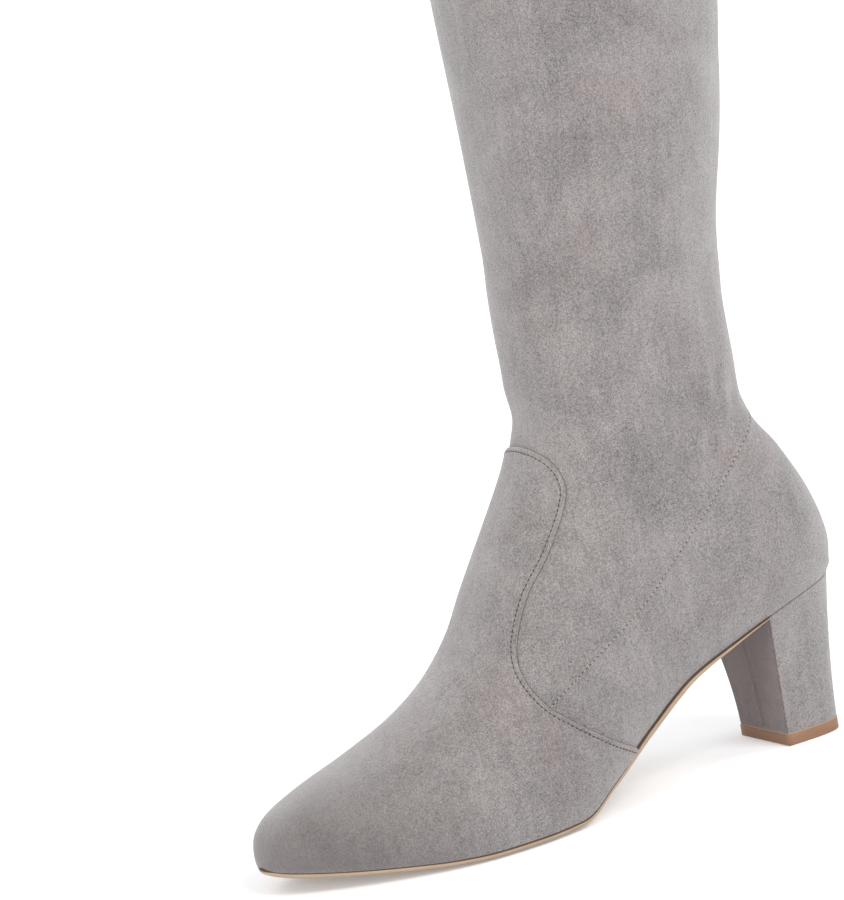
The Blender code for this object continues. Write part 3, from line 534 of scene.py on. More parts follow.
def stitch_row(line, offset, pitch, lift, closed=False, length=0.62, radius=0.00021,
               hole=(0.00042, 0.00020)):
    """Points and faces of one row of stitches on the upper, and of the needle holes between them, small dark
    discs of painted shade.

    length is the part of the pitch that a stitch shows. hole is half its length and half its width.
    """
    line = soften(resample(line, 0.0005, closed)[0], 6, closed)
    places, across = frames(UPPER, line, closed)
    row, up = UPPER.drop(places + across * offset)
    row = row + up * lift
    run = np.concatenate([[0], np.cumsum(np.linalg.norm(np.diff(row, axis=0), axis=1))])
    threads, holes = [[], []], [[], []]
    slope = np.gradient(row, axis=0)
    bow = 1 - np.linspace(-1, 1, STITCH_RINGS) ** 2

    def pick(values, where):
        return np.stack([np.interp(where, run, values[:, i]) for i in range(3)], axis=-1)

    for k in range(int(run[-1] / pitch)):
        spread = RNG.normal(0, 0.04, 3)
        at = (k + 0.5 + spread[0]) * pitch + np.linspace(-0.5, 0.5, STITCH_RINGS) * pitch * length * 1.25
        spine, normal = pick(row, at), unit(pick(up, at))
        wide = unit(np.cross(normal, unit(np.gradient(spine, axis=0))))
        size = radius * (0.45 + 0.55 * bow**0.5) * (1 + spread[1])
        lathe(*threads, spine + normal * (STITCH_DIP * (bow - 0.75))[:, None], (wide, normal),
              np.column_stack([1.15 * size, size]), 6)
        at = np.array([k * pitch])
        spot, spot_up, way = pick(row, at)[0], unit(pick(up, at))[0], unit(pick(slope, at))[0]
        aside = np.cross(spot_up, way)
        first = len(holes[0])
        for a in range(8):
            turn = 2 * math.pi * a / 8
            holes[0].append(spot + spot_up * 0.00005 + (1 + spread[2]) * (hole[1] * math.cos(turn) * aside
                                                                        + hole[0] * math.sin(turn) * way))
        holes[0].append(spot + spot_up * 0.00009)
        holes[1] += [(first + a, first + (a + 1) % 8, first + 8) for a in range(8)]
    return threads, holes


def stitches(name, rows, thread):
    """One piece of thread and one of painted-shade needle holes for several rows."""
    for part_name, which, material in ((name, 0, thread), (name + "_hole_shades", 1, HOLE_SHADE)):
        points, faces = [], []
        for row in rows:
            first = len(points)
            points += row[which][0]
            faces += [tuple(first + i for i in f) for f in row[which][1]]
        new_piece(part_name, points, faces, material, "suede")


# Materials
class Nodes:
    """A material's node tree, built line by line."""

    def __init__(self, name):
        self.material = bpy.data.materials.new(name)
        self.material.use_nodes = True
        self.tree = self.material.node_tree
        self.shader = self.tree.nodes["Principled BSDF"]
        self.coordinates = self.tree.nodes.new("ShaderNodeTexCoord").outputs["Object"]

    def set(self, socket, value):
        """Sets a socket to a number, a colour or another node's output."""
        if isinstance(value, (int, float)):
            socket.default_value = value
        elif isinstance(value, tuple):
            socket.default_value = (*value, 1)
        else:
            self.tree.links.new(value, socket)

    def add(self, kind, output, **inputs):
        """Adds a node with its inputs by name and gives its output."""
        node = self.tree.nodes.new("ShaderNode" + kind)
        for key, value in inputs.items():
            if isinstance(value, (int, float, tuple)):
                node.inputs[key.replace("_", " ")].default_value = value
            else:
                self.tree.links.new(value, node.inputs[key.replace("_", " ")])
        return node.outputs[output]

    def noise(self, scale, detail=3.0, rough=0.5, stretch=(1, 1, 1), turn=(0, 0, 0), distortion=0.0):
        """Noise of a size given as lumps in a metre."""
        place = self.add("Mapping", "Vector", Scale=stretch, Rotation=turn, Vector=self.coordinates)
        return self.add("TexNoise", "Fac", Scale=scale, Detail=detail, Roughness=rough, Distortion=distortion,
                        Vector=place)

    def ramp(self, value, low, high, start=0.0, end=1.0):
        """A value spread from start to end between low and high."""
        return self.add("MapRange", "Result", From_Min=low, From_Max=high, To_Min=start, To_Max=end, Value=value)

    def mix(self, factor, one, two):
        """A mix of two colours, each a colour or an output."""
        node = self.tree.nodes.new("ShaderNodeMix")
        node.data_type = "RGBA"
        for key, value in ((0, factor), (6, one), (7, two)):
            self.set(node.inputs[key], value)
        return node.outputs[2]

    def math(self, operation, one, two):
        """A sum or product of two numbers or outputs."""
        node = self.tree.nodes.new("ShaderNodeMath")
        node.operation = operation
        self.set(node.inputs[0], one)
        self.set(node.inputs[1], two)
        return node.outputs[0]

    def finish(self, colour, roughness, height=None, strength=0.3, distance=0.0003, **sockets):
        """Sets the shader. sockets are constants on the shader's own inputs."""
        self.set(self.shader.inputs["Base Color"], colour)
        self.set(self.shader.inputs["Roughness"], roughness)
        if height is not None:
            bump = self.add("Bump", "Normal", Strength=strength, Distance=distance, Height=height)
            self.set(self.shader.inputs["Normal"], bump)
        for key, value in sockets.items():
            self.shader.inputs[key.replace("_", " ")].default_value = value
        return self.material


def suede(name, light, warm, spread=1.0):
    """Brushed suede: nap patches, streaks, scratches, blushes, a fine grain, and painted shade that darkens the
    toe tip.
    """
    n = Nodes(name)
    patches = n.ramp(n.noise(38, 5.0, 0.62, distortion=0.7), 0.34, 0.66)
    streaks = n.ramp(n.noise(1, 3.0, 0.6, stretch=(300, 300, 46), turn=(0.0, 0.09, 0.0)), 0.34, 0.68)
    specks = n.ramp(n.noise(2200, 3.0, 0.65), 0.42, 0.58)
    flecks = n.ramp(n.noise(1050, 3.0, 0.6), 0.38, 0.62)
    blush = n.ramp(n.noise(27, 4.0, 0.6, distortion=0.9), 0.50, 0.66)
    scratches = n.ramp(n.noise(1, 2.0, 0.6, stretch=(950, 950, 120), turn=(0.06, 0.12, 0.0)), 0.55, 0.70)
    marked = n.ramp(n.noise(24, 2.0, 0.5), 0.46, 0.62)
    tone = n.math("MULTIPLY", patches, 0.21)
    for part, share in ((streaks, 0.12), (specks, 0.46), (flecks, 0.21)):
        tone = n.math("ADD", tone, n.math("MULTIPLY", part, share))
    low, high = 1 - 0.62 * spread, 1 + 0.62 * spread
    plain = n.mix(tone, tuple(low * c for c in light), tuple(high * c for c in light))
    warmed = n.mix(tone, tuple(low * c for c in warm), tuple(high * c for c in warm))
    colour = n.mix(n.math("MULTIPLY", blush, 0.60), plain, warmed)
    wear = n.math("MULTIPLY", n.math("MULTIPLY", scratches, marked), 0.42)
    colour = n.mix(wear, colour, tuple(0.62 * c for c in warm))
    # Painted shade: the toe tip is darkened by its place, where less light reaches it
    x, z = (n.add("SeparateXYZ", axis, Vector=n.coordinates) for axis in ("X", "Z"))
    tip = n.math("MULTIPLY", n.ramp(x, 0.150, 0.216), n.ramp(z, 0.068, 0.008))
    colour = n.mix(n.math("MULTIPLY", tip, 0.74), colour, tuple(0.50 * c for c in warm))
    height = n.math("ADD", n.math("MULTIPLY", specks, 0.5), n.noise(700, 2.0, 0.6))
    return n.finish(colour, n.ramp(specks, 0, 1, 0.84, 0.96), height, 0.60, 0.0004,
                    Sheen_Weight=0.58, Sheen_Roughness=0.45, Specular_IOR_Level=0.12)


SUEDE = suede("suede", (0.222, 0.204, 0.199), (0.212, 0.179, 0.176))
# Painted shade: darker suede for the heel's breast, which faces away from the lamps under the arch
BREAST_SHADE_SUEDE = suede("suede_breast_shade", (0.146, 0.114, 0.112), (0.144, 0.106, 0.104))
RIM = suede("suede_fold", (0.226, 0.200, 0.190), (0.226, 0.186, 0.176))
# Painted shade: darker suede laid in the groove of the counter seam
CREASE_SHADE = suede("suede_crease_shade", (0.175, 0.155, 0.150), (0.168, 0.142, 0.138))
SOFT_SHADE = suede("suede_soft_shade", (0.140, 0.121, 0.116), (0.134, 0.110, 0.106))
SHADE = suede("suede_shade", (0.078, 0.064, 0.061), (0.074, 0.058, 0.055), 0.8)


def plain_cloth(name, colour, scale, contrast=0.12, rough=0.9, sheen=0.15):
    """A fine plain weave."""
    n = Nodes(name)
    fine = n.noise(scale, 2.0, 0.6)
    broad = n.ramp(n.noise(60, 3.0, 0.5), 0.35, 0.65)
    lit = tuple(min(1.0, c * (1 + contrast)) for c in colour)
    dim = tuple(c * (1 - contrast) for c in colour)
    tone = n.math("ADD", n.math("MULTIPLY", n.ramp(fine, 0.3, 0.7), 0.7), n.math("MULTIPLY", broad, 0.3))
    return n.finish(n.mix(tone, dim, lit), rough, fine, 0.4, 0.0002, Sheen_Weight=sheen,
                    Specular_IOR_Level=0.25)


LINING = plain_cloth("lining", (0.47, 0.44, 0.42), 1800)
SOCK = plain_cloth("sock", (0.44, 0.40, 0.36), 1300, 0.10, 0.75)
THREAD = plain_cloth("thread", (0.150, 0.126, 0.116), 3000, 0.2, 0.8)
PALE_THREAD = plain_cloth("pale_thread", (0.37, 0.345, 0.33), 3000, 0.2, 0.8)
# Painted shade: the dark of a needle hole, on small discs laid over the suede
HOLE_SHADE = plain_cloth("needle_hole_shade", (0.052, 0.038, 0.034), 2500, 0.2, 0.95, 0.0)
TAPE = plain_cloth("zip_tape_cloth", (0.070, 0.064, 0.072), 2400, 0.25, 0.8)


def sole_material(name, colour, dark, rough):
    """Smooth sole stock with faint wipe marks and pores."""
    n = Nodes(name)
    wipe = n.ramp(n.noise(1, 4.0, 0.6, stretch=(60, 60, 900)), 0.3, 0.7)
    cloud = n.ramp(n.noise(55, 3.0, 0.5), 0.35, 0.65)
    scuff = n.ramp(n.noise(1, 5.0, 0.7, stretch=(900, 160, 160)), 0.60, 0.78)
    tone = n.math("ADD", n.math("MULTIPLY", wipe, 0.55), n.math("MULTIPLY", cloud, 0.45))
    bright = tuple(c * 1.25 for c in colour)
    mixed = n.mix(n.math("MULTIPLY", scuff, 0.12), n.mix(tone, dark, colour), bright)
    height = n.math("ADD", n.noise(700, 3.0, 0.6), n.math("MULTIPLY", wipe, 0.5))
    return n.finish(mixed, n.ramp(cloud, 0, 1, rough - 0.06, rough + 0.10), height, 0.18, 0.0002,
                    Specular_IOR_Level=0.4)


SOLE = sole_material("sole", (0.415, 0.308, 0.218), (0.318, 0.226, 0.150), 0.55)
LIFT = sole_material("lift", (0.262, 0.142, 0.082), (0.194, 0.101, 0.057), 0.50)
# Partly edge ink, partly painted shade: the dark line where the upper meets the sole
JOINT_INK_AND_SHADE = plain_cloth("sole_joint_ink_and_shade", (0.088, 0.054, 0.036), 1200, 0.2, 0.85, 0.0)
PALE_EDGE = plain_cloth("cover_edge", (0.34, 0.25, 0.19), 1500, 0.15, 0.85, 0.0)


def gunmetal(name, colour, rough):
    """Plated metal with fine brushing and a little wear."""
    n = Nodes(name)
    brush = n.ramp(n.noise(1, 3.0, 0.6, stretch=(500, 500, 3500)), 0.3, 0.7)
    worn = n.ramp(n.noise(420, 4.0, 0.6), 0.55, 0.75)
    tone = n.mix(brush, tuple(c * 0.86 for c in colour), colour)
    tone = n.mix(n.math("MULTIPLY", worn, 0.25), tone, tuple(min(1, c * 1.5) for c in colour))
    return n.finish(tone, n.ramp(brush, 0, 1, rough, rough + 0.12), brush, 0.06, 0.0001, Metallic=1.0)


METAL = gunmetal("gunmetal", (0.37, 0.36, 0.38), 0.27)


def coil_material():
    """Moulded nylon zip teeth, dark and slightly glossy."""
    n = Nodes("zip_teeth")
    tone = n.ramp(n.noise(900, 3.0, 0.6), 0.3, 0.7)
    return n.finish(n.mix(tone, (0.135, 0.128, 0.142), (0.215, 0.205, 0.222)), 0.36,
                    n.noise(1800, 2.0, 0.6), 0.12, 0.0001, Coat_Weight=0.25, Coat_Roughness=0.3)


COIL = coil_material()

# The upper: one skin from under the foot, over the collar and down inside
SIDE_POINTS = 105
FOOT_ROWS = 86
SHAFT_ROWS = 150
turns = np.linspace(0, 1, FOOT_ROWS) ** 1.3
foot = np.array([foot_ring(turn, SIDE_POINTS) for turn in turns])
shaft_at = np.linspace(ANKLE_ROW, COLLAR_ROW, SHAFT_ROWS + 1)[1:]
shaft = np.array([shaft_ring(row, SIDE_POINTS) for row in shaft_at])
rings = np.concatenate([foot, shaft])
normals = ring_normals(rings)
rings = rings + normals * relief(rings)[..., None]
normals = ring_normals(rings)
ROWS, COLUMNS = rings.shape[:2]
UPPER = Surface(rings.reshape(-1, 3), normals.reshape(-1, 3), halves(quads(ROWS, COLUMNS, True)))


def margin(outset):
    """A ring under the foot, on the same points as the lowest ring."""
    outer, inner = sole_edge(HEEL_BACK + crowd_ends(SIDE_POINTS) * FOOT_LENGTH, outset)
    for end in (0, -1):
        outer[end, 1] = (outer[end, 1] + inner[end, 1]) / 2
    return np.concatenate([outer, inner[-2:0:-1]])


# Side view places along the zip
ZIP_FOOT = np.array([HEEL_BACK + ZIP_FOOT_SETBACK, 0])
ZIP_FOOT[1] = sole_height(ZIP_FOOT[0]) + ZIP_FOOT_GAP
ZIP_RISE = np.array([HEEL_BACK + ZIP_TOP_SETBACK, ZIP_TOP_HEIGHT]) - ZIP_FOOT
ZIP_LENGTH = float(np.hypot(*ZIP_RISE))
ZIP_UP = ZIP_RISE / ZIP_LENGTH
ZIP_ASIDE = np.array([ZIP_UP[1], -ZIP_UP[0]])
SOLE_SLOPE = float(sole_height(ZIP_FOOT[0] + 0.01) - sole_height(ZIP_FOOT[0] - 0.01)) / 0.02


def zip_start(across):
    """Where the zip's lower end lies along it, so that it stays parallel to the sole."""
    x, z = ZIP_ASIDE[0] * across, ZIP_ASIDE[1] * across
    return (SOLE_SLOPE * x - z) / (ZIP_UP[1] - SOLE_SLOPE * ZIP_UP[0])


def zip_skin(along, across):
    """Points of the inner side at distances up along the zip and across it, in metres."""
    along, across = np.broadcast_arrays(np.asarray(along, float), np.asarray(across, float))
    x = ZIP_FOOT[0] + ZIP_UP[0] * along + ZIP_ASIDE[0] * across
    z = ZIP_FOOT[1] + ZIP_UP[1] * along + ZIP_ASIDE[1] * across
    return skin(x.ravel(), z.ravel(), -1)


SLOT_HALF = 0.0054  # half the width of the hole under the zip's lips
SLOT_FOOT = 0.0008  # the hole starts this far above the zip's lower end
SLOT_OVER = 0.0015  # and ends this far above its upper end
under = [margin(-LASTING_MARGIN), margin(-0.003), margin(-0.0006)]
inner_rows = list(range(ROWS - 1, 40, -3)) + list(range(38, 6, -3))  # every third ring, down to the insole
fold = []
for angle in (0.25, 0.5, 0.75):
    turn = math.pi * angle
    top = rings[-1] + normals[-1] * (UPPER_WALL / 2) * (math.cos(turn) - 1)
    top[:, 2] += UPPER_WALL / 2 * math.sin(turn)
    fold.append(top)
inside = [rings[r] - normals[r] * UPPER_WALL for r in inner_rows]
shell = np.array(under + list(rings) + fold + inside)
faces = np.array(quads(len(shell), COLUMNS, True))
outer_last = len(under) + ROWS + 1
flat = shell.reshape(-1, 3)


def in_slot(points):
    """True for points of the inner side within the zip's slot."""
    place = points[:, [0, 2]] - ZIP_FOOT
    along, across = place @ ZIP_UP, place @ ZIP_ASIDE
    return ((points[:, 1] < 0) & (np.abs(across) < SLOT_HALF) & (along > zip_start(across) + SLOT_FOOT)
            & (along < ZIP_LENGTH + SLOT_OVER))


keep = faces[~in_slot(flat[faces].mean(1))]
upper_piece = new_piece("upper_skin", flat, keep, [SUEDE, LINING], "suede")
row_of = keep[:, 0] // COLUMNS
upper_piece.data.polygons.foreach_set("material_index", (row_of >= outer_last).astype(np.int32))
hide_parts("upper")

# The vamp: a panel over the foot, with a folded and stitched S-shaped edge
edge_table = np.array(VAMP_EDGE)


def edge_at(t):
    """The vamp's edge in the side view, at fractional rows of its table."""
    x, z = spline(edge_table[:, 0], t), spline(edge_table[:, 1], t)
    return HEEL_BACK + x * FOOT_LENGTH, z * INSTEP_HEIGHT


def on_side(t):
    """True where the edge lies below the ridge of the foot."""
    return locate(*edge_at(np.array([t])))[1][0] < 0.9999


low, high = 0.0, 3.0
for _ in range(30):
    mid = (low + high) / 2
    low, high = (low, mid) if on_side(mid) else (mid, high)
edge_top, edge_end = high, len(edge_table) - 1.0
ts = np.linspace(edge_top, edge_end, 600)
xs, zs = edge_at(ts)
under_sole = zs < sole_height(xs) + 0.0002
if under_sole.any():
    edge_end = ts[np.argmax(under_sole)]
xs, zs = edge_at(edge_top + (edge_end - edge_top) * np.linspace(0, 1, 260) ** 2)
lateral, medial = skin(xs, zs, 1), skin(xs, zs, -1)
lateral[0, 1] = medial[0, 1] = (lateral[0, 1] + medial[0, 1]) / 2
vamp_edge = soften(resample(np.concatenate([lateral[::-1], medial[1:]]), 0.0007)[0], 10)

# Panel faces: those of the skin that lie in front of the edge
panel_rows = FOOT_ROWS + 4
panel_rings = rings[:panel_rows]
panel = panel_rings + normals[:panel_rows] * PANEL_LIFT
order = np.argsort(zs)
in_front = panel_rings[..., 0] > np.interp(panel_rings[..., 2], zs[order], xs[order])
nearby = KDTree(len(vamp_edge))
for k, point in enumerate(vamp_edge):
    nearby.insert(point, k)
nearby.balance()
distance = np.array([nearby.find(p)[2] for p in panel_rings.reshape(-1, 3)]).reshape(panel_rows, COLUMNS)
wanted = (in_front & (distance > 0.0030) & (panel_rings[..., 2] < zs.max() + 0.002)).reshape(-1)
panel_faces = [f for f in quads(panel_rows, COLUMNS, True) if wanted[list(f)].all()]
used = sorted({i for f in panel_faces for i in f})
index = {v: k for k, v in enumerate(used)}
panel_faces = [tuple(index[i] for i in f) for f in panel_faces]
vamp_piece = new_piece("vamp_panel", panel.reshape(-1, 3)[used], panel_faces, SUEDE, "suede")
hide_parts("vamp")
# Distance into the vamp and height, in mm: over the fold, down to the stitches, then level
VAMP_FOLD = ((-0.10, 0.35), (0.00, 0.90), (0.20, 1.20), (0.50, 1.36), (0.90, 1.41), (1.25, 1.37))
VAMP_BORDER = ((1.25, 1.37), (1.50, 1.29), (1.70, 1.25), (1.95, 1.29), (2.70, 1.35), (3.40, 1.36),
               (4.00, 1.35), (4.60, 1.33), (5.40, 1.31), (7.20, 1.28), (9.00, 1.22))
VAMP_SHADE = ((-0.42, 0.03), (-0.27, 0.07), (-0.13, 0.15), (-0.07, 0.42))
ribbon("vamp_edge", UPPER, vamp_edge, VAMP_BORDER, SUEDE, pitch=0.0019, pucker=0.025)
ribbon("vamp_fold", UPPER, vamp_edge, VAMP_FOLD, RIM, pitch=0.0019, pucker=0.025)
ribbon("vamp_shade", UPPER, vamp_edge, VAMP_SHADE, SOFT_SHADE)
stitches("vamp_stitches", [stitch_row(vamp_edge, 0.00170, 0.0020, 0.00124, length=0.45, radius=0.00015,
                                      hole=(0.00064, 0.00030))], THREAD)

# Closed seams
# The counter seam in the side view as x and z, in mm, from the back of the heel to the vamp
COUNTER = np.array(((2.9, 140.0), (4.5, 138.4), (9.0, 134.8), (15.9, 129.3), (19.6, 124.6), (26.4, 116.4),
                    (33.5, 108.8), (39.7, 102.6), (48.9, 94.8), (60.5, 85.2), (72.8, 75.9), (85.6, 68.2),
                    (98.5, 61.2), (110.5, 54.6), (121.2, 48.6), (124.5, 46.8))) / 1000
ZIP_CLEAR = 0.0056  # the inner seam stops this far from the middle of the zip
BACK_SEAM_FOOT = 0.1405
SEAM_PROFILE = ((-3.6, -0.04), (-2.6, 0.07), (-1.7, 0.17), (-0.95, 0.27), (-0.5, 0.22), (-0.2, 0.07), (0.0, 0.01),
                (0.2, 0.07), (0.5, 0.22), (0.95, 0.27), (1.7, 0.17), (2.6, 0.07), (3.6, -0.04))
rows = np.linspace(0, len(COUNTER) - 1, 200)
counter_x, counter_z = spline(COUNTER[:, 0], rows), spline(COUNTER[:, 1], rows)
seam_rows = []
seams = [("lateral", skin(counter_x, counter_z, 1))]
seams[0][1][0, 1] = 0
inner_seam = skin(counter_x, counter_z, -1)
inner_seam[0, 1] = 0
aside = (np.column_stack([counter_x, counter_z]) - ZIP_FOOT) @ ZIP_ASIDE
seams += [("medial_back", inner_seam[aside < -ZIP_CLEAR]), ("medial_front", inner_seam[aside > ZIP_CLEAR])]
for label, seam in seams:
    ribbon("counter_seam_" + label, UPPER, seam, SEAM_PROFILE, SUEDE, pitch=0.0021, pucker=0.45)
    # Painted shade: a dark line in the seam's groove
    ribbon("counter_crease_shade_" + label, UPPER, seam, ((-0.13, 0.05), (0.0, 0.06), (0.13, 0.05)), CREASE_SHADE)
    seam_rows.append(stitch_row(seam, 0.0, 0.0021, 0.00013, radius=0.00019, length=0.42,
                                hole=(0.00030, 0.00020)))
back_rows = np.linspace(HEEL_ROW + 4.0, COLLAR_ROW, 240)
back_x, back_z = column("bottom_x", back_rows), column("bottom_z", back_rows)
back_line = np.column_stack([back_x, 0 * back_x, back_z])[back_z > BACK_SEAM_FOOT]
ribbon("back_seam", UPPER, back_line, SEAM_PROFILE, SUEDE, step=0.0010, pitch=0.0024, pucker=0.3)
stitches("seam_stitches", seam_rows, PALE_THREAD)

# The zip: tape, teeth, turned lips with two rows of stitches, and the metal slider
TAPE_WIDTH = 0.0200
TAPE_DEPTH = 0.0023  # its face under the upper's
TAPE_ROWS, TAPE_COLUMNS = 150, 17
across = np.linspace(-TAPE_WIDTH / 2, TAPE_WIDTH / 2, TAPE_COLUMNS)
grid_along, grid_across = np.meshgrid(np.linspace(0, 1, TAPE_ROWS), across, indexing="ij")
grid_along = grid_along * (ZIP_LENGTH + 0.0045) + (1 - grid_along) * (zip_start(grid_across) - 0.0030)
places, ups = UPPER.drop(zip_skin(grid_along, grid_across))
tape_points = np.concatenate([places - ups * TAPE_DEPTH, places - ups * (TAPE_DEPTH + 0.0007)])
tape_faces = quads(TAPE_ROWS, TAPE_COLUMNS)
tape_faces += [tuple(i + TAPE_ROWS * TAPE_COLUMNS for i in f[::-1]) for f in tape_faces]
tape_piece = new_piece("zip_tape_cloth", tape_points, tape_faces, TAPE, "zip_tape")
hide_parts("zip_tape")

TOOTH_PITCH = 0.0016
TOOTH_HUMP = np.array([0.55, 0.95, 1.0, 1.0, 0.92, 0.5])  # thickness from its inner to its outer end
TOOTH_REACH = np.linspace(0.00012, 0.00262, len(TOOTH_HUMP))
TOOTH_LEAN = 0.00042 * np.linspace(1, -1, len(TOOTH_HUMP))
spots = 0.0002 + np.arange(int((ZIP_LENGTH - TOOTH_PITCH) / TOOTH_PITCH)) * TOOTH_PITCH
tooth_points, tooth_faces = [], []
for side, shift in ((1, 0), (-1, 0.5 * TOOTH_PITCH)):
    for spot in spots:
        line, up = UPPER.drop(zip_skin(spot + shift + TOOTH_LEAN, side * TOOTH_REACH))
        wide = unit(np.cross(up, unit(np.gradient(line, axis=0))))
        centres = line - up * (0.00105 + 0.00030 * (1 - TOOTH_HUMP))[:, None]
        lathe(tooth_points, tooth_faces, centres, (wide, up), np.outer(TOOTH_HUMP, (0.00058, 0.00070)), 8)
teeth = new_piece("zip_teeth", tooth_points, tooth_faces, COIL, "zip_coil", closed=True)
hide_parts("zip_coil")

LIP = 0.0031  # half the gap between the turned edges
LIP_CORNER = 0.0012
LIP_TOP = ZIP_LENGTH + 0.0004
bend = np.linspace(0, math.pi / 2, 8)
rise, turn_in = LIP_CORNER * (np.sin(bend) - 1), LIP_CORNER * (1 - np.cos(bend))
lip_foot, lip_end = (float(zip_start(edge)) - 0.002 for edge in (-LIP, LIP))
lip_along = np.concatenate([np.linspace(lip_foot, LIP_TOP - LIP_CORNER, 160), LIP_TOP + rise, LIP_TOP - turn_in,
                            np.linspace(LIP_TOP - LIP_CORNER, lip_end, 160)])
lip_across = np.concatenate([np.full(160, -LIP), turn_in - LIP, LIP + rise, np.full(160, LIP)])
lip_line = zip_skin(lip_along, lip_across)
LIP_PROFILE = ((0.25, -1.9), (0.02, -1.2), (0.0, -0.35), (0.14, 0.10), (0.45, 0.36), (0.85, 0.42), (1.15, 0.32),
               (1.4, 0.22), (1.65, 0.32), (2.1, 0.42), (2.6, 0.42), (3.0, 0.30), (3.25, 0.20), (3.5, 0.26),
               (4.0, 0.27), (4.6, 0.14), (5.4, -0.05))
ribbon("zip_lips", UPPER, lip_line, LIP_PROFILE, SUEDE, pitch=0.0019, pucker=0.05)
stitches("zip_stitches", [stitch_row(lip_line, offset, 0.0019, 0.00026) for offset in (0.0014, 0.00325)], THREAD)

# The slider, in its own frame: x down along the zip, z out of the wall
spot, spot_normal = UPPER.drop(zip_skin([ZIP_LENGTH - 0.0058, ZIP_LENGTH - 0.0158], [0, 0]))
out = spot_normal[0]
down = unit((spot[1] - spot[0]) - out * np.dot(spot[1] - spot[0], out))
SLIDER_FRAME = np.array([down, np.cross(out, down), out])
# Half of its outline as x and y, then its layers as the share drawn in and z, in mm
SHIELD = np.array(((-5.4, 0.0), (-5.25, 1.1), (-4.7, 2.4), (-3.8, 3.5), (-2.8, 4.15), (-1.8, 4.2), (-0.4, 3.8),
                   (1.2, 3.35), (2.8, 3.1), (4.0, 2.95), (4.5, 2.5), (4.6, 1.2), (4.6, 0.0)))
SHIELD_LAYERS = ((0.5, 0.45), (0.06, 0.45), (0.0, 0.62), (0.0, 1.10), (0.03, 1.32), (0.09, 1.44), (0.2, 1.52),
                 (0.35, 1.60), (0.5, 1.66), (0.65, 1.70), (0.8, 1.72), (0.93, 1.73))
rows = np.linspace(0, len(SHIELD) - 1, 40)
half_x, half_y = spline(SHIELD[:, 0], rows), np.maximum(spline(SHIELD[:, 1], rows), 0)
rim_x, rim_y = np.concatenate([half_x, half_x[-2:0:-1]]), np.concatenate([half_y, -half_y[-2:0:-1]])
layers = []
for shrink, z in SHIELD_LAYERS:
    x, y = -0.3 + (rim_x + 0.3) * (1 - shrink), rim_y * (1 - shrink)
    ridge = 0.42 * np.exp(-(y / 0.75) ** 2) * np.clip((-0.8 - x) / 1.6, 0, 1) * np.clip((z - 1.2) / 0.3, 0, 1)
    layers.append(np.column_stack([x, y, z + ridge]))
body_points, body_faces = capped(np.array(layers))
turns = np.linspace(0, math.pi, 26)
arch_x = -2.35 * np.sign(np.cos(turns)) * np.abs(np.cos(turns)) ** (2 / 3)
arch_z = 1.35 + 3.3 * np.sin(turns) ** (2 / 3)
slope = unit(np.gradient(np.column_stack([arch_x, arch_z]), axis=0))
section = np.linspace(0, 2 * math.pi, 16, endpoint=False)
wide, thick = (half * np.sign(way) * np.abs(way) ** 0.7
               for half, way in ((0.9, np.cos(section)), (0.44, np.sin(section))))
arch = np.array([np.column_stack([x - thick * sz, wide, z + thick * sx])
                 for x, z, (sx, sz) in zip(arch_x, arch_z, slope)])
arch_points, arch_faces = capped(arch)
slider_points = np.concatenate([body_points, arch_points]) / 1000 @ SLIDER_FRAME + spot[0]
slider_faces = body_faces + [tuple(i + len(body_points) for i in f) for f in arch_faces]
slider = new_piece("slider_body", slider_points, slider_faces, METAL, "gunmetal", closed=True)
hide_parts("zip_slider")

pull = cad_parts["zip_pull"]
soft = pull.modifiers.new("edges", "BEVEL")
soft.width, soft.segments, soft.limit_method, soft.angle_limit = 0.00022, 2, "ANGLE", math.radians(40)
pull.data.materials.clear()
pull.data.materials.append(METAL)

# The hem at the collar
hem_z = COLLAR_HEIGHT - HEM_WIDTH + 0.0025  # just above the step of the hem
ring = rings[np.argmin(np.abs(rings[:, :, 2].mean(1) - hem_z))].copy()
ring[:, 2] = hem_z
stitches("hem_stitches", [stitch_row(ring, 0.0, 0.0026, 0.00005, closed=True)], THREAD)

# The sock: a pad on the insole, thinner at its edges and closed all round
SOCK_ROWS, SOCK_COLUMNS = 140, 15
SOCK_BASE = UPPER_WALL + 0.0005
left, right = sole_edge(HEEL_BACK + crowd_ends(SOCK_ROWS) * FOOT_LENGTH, -(UPPER_WALL + 0.0008))
share = crowd_ends(SOCK_COLUMNS)[:, None]
sock_bottom = left[:, None] * (1 - share) + right[:, None] * share
sock_top = sock_bottom.copy()
bulge = 1 - (2 * share[:, 0] - 1) ** 4
sock_top[..., 2] += off_sole(sock_top[..., 0], SOCK_BASE + 0.0024 * (0.55 + 0.45 * bulge) + 0.0004 * bulge)
sock_bottom[..., 2] += off_sole(sock_bottom[..., 0], SOCK_BASE)
first = SOCK_ROWS * SOCK_COLUMNS
sock_faces = quads(SOCK_ROWS, SOCK_COLUMNS)
sock_faces += [tuple(first + i for i in f[::-1]) for f in sock_faces]
for a in range(0, first - SOCK_COLUMNS, SOCK_COLUMNS):
    for k in (a, a + SOCK_COLUMNS - 1):
        sock_faces.append((k, k + SOCK_COLUMNS, first + k + SOCK_COLUMNS, first + k))
sock_points = np.concatenate([sock_top, sock_bottom]).reshape(-1, 3)
sock = new_piece("insole_sock", sock_points, sock_faces, SOCK, "insole", closed=True)
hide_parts("insole")

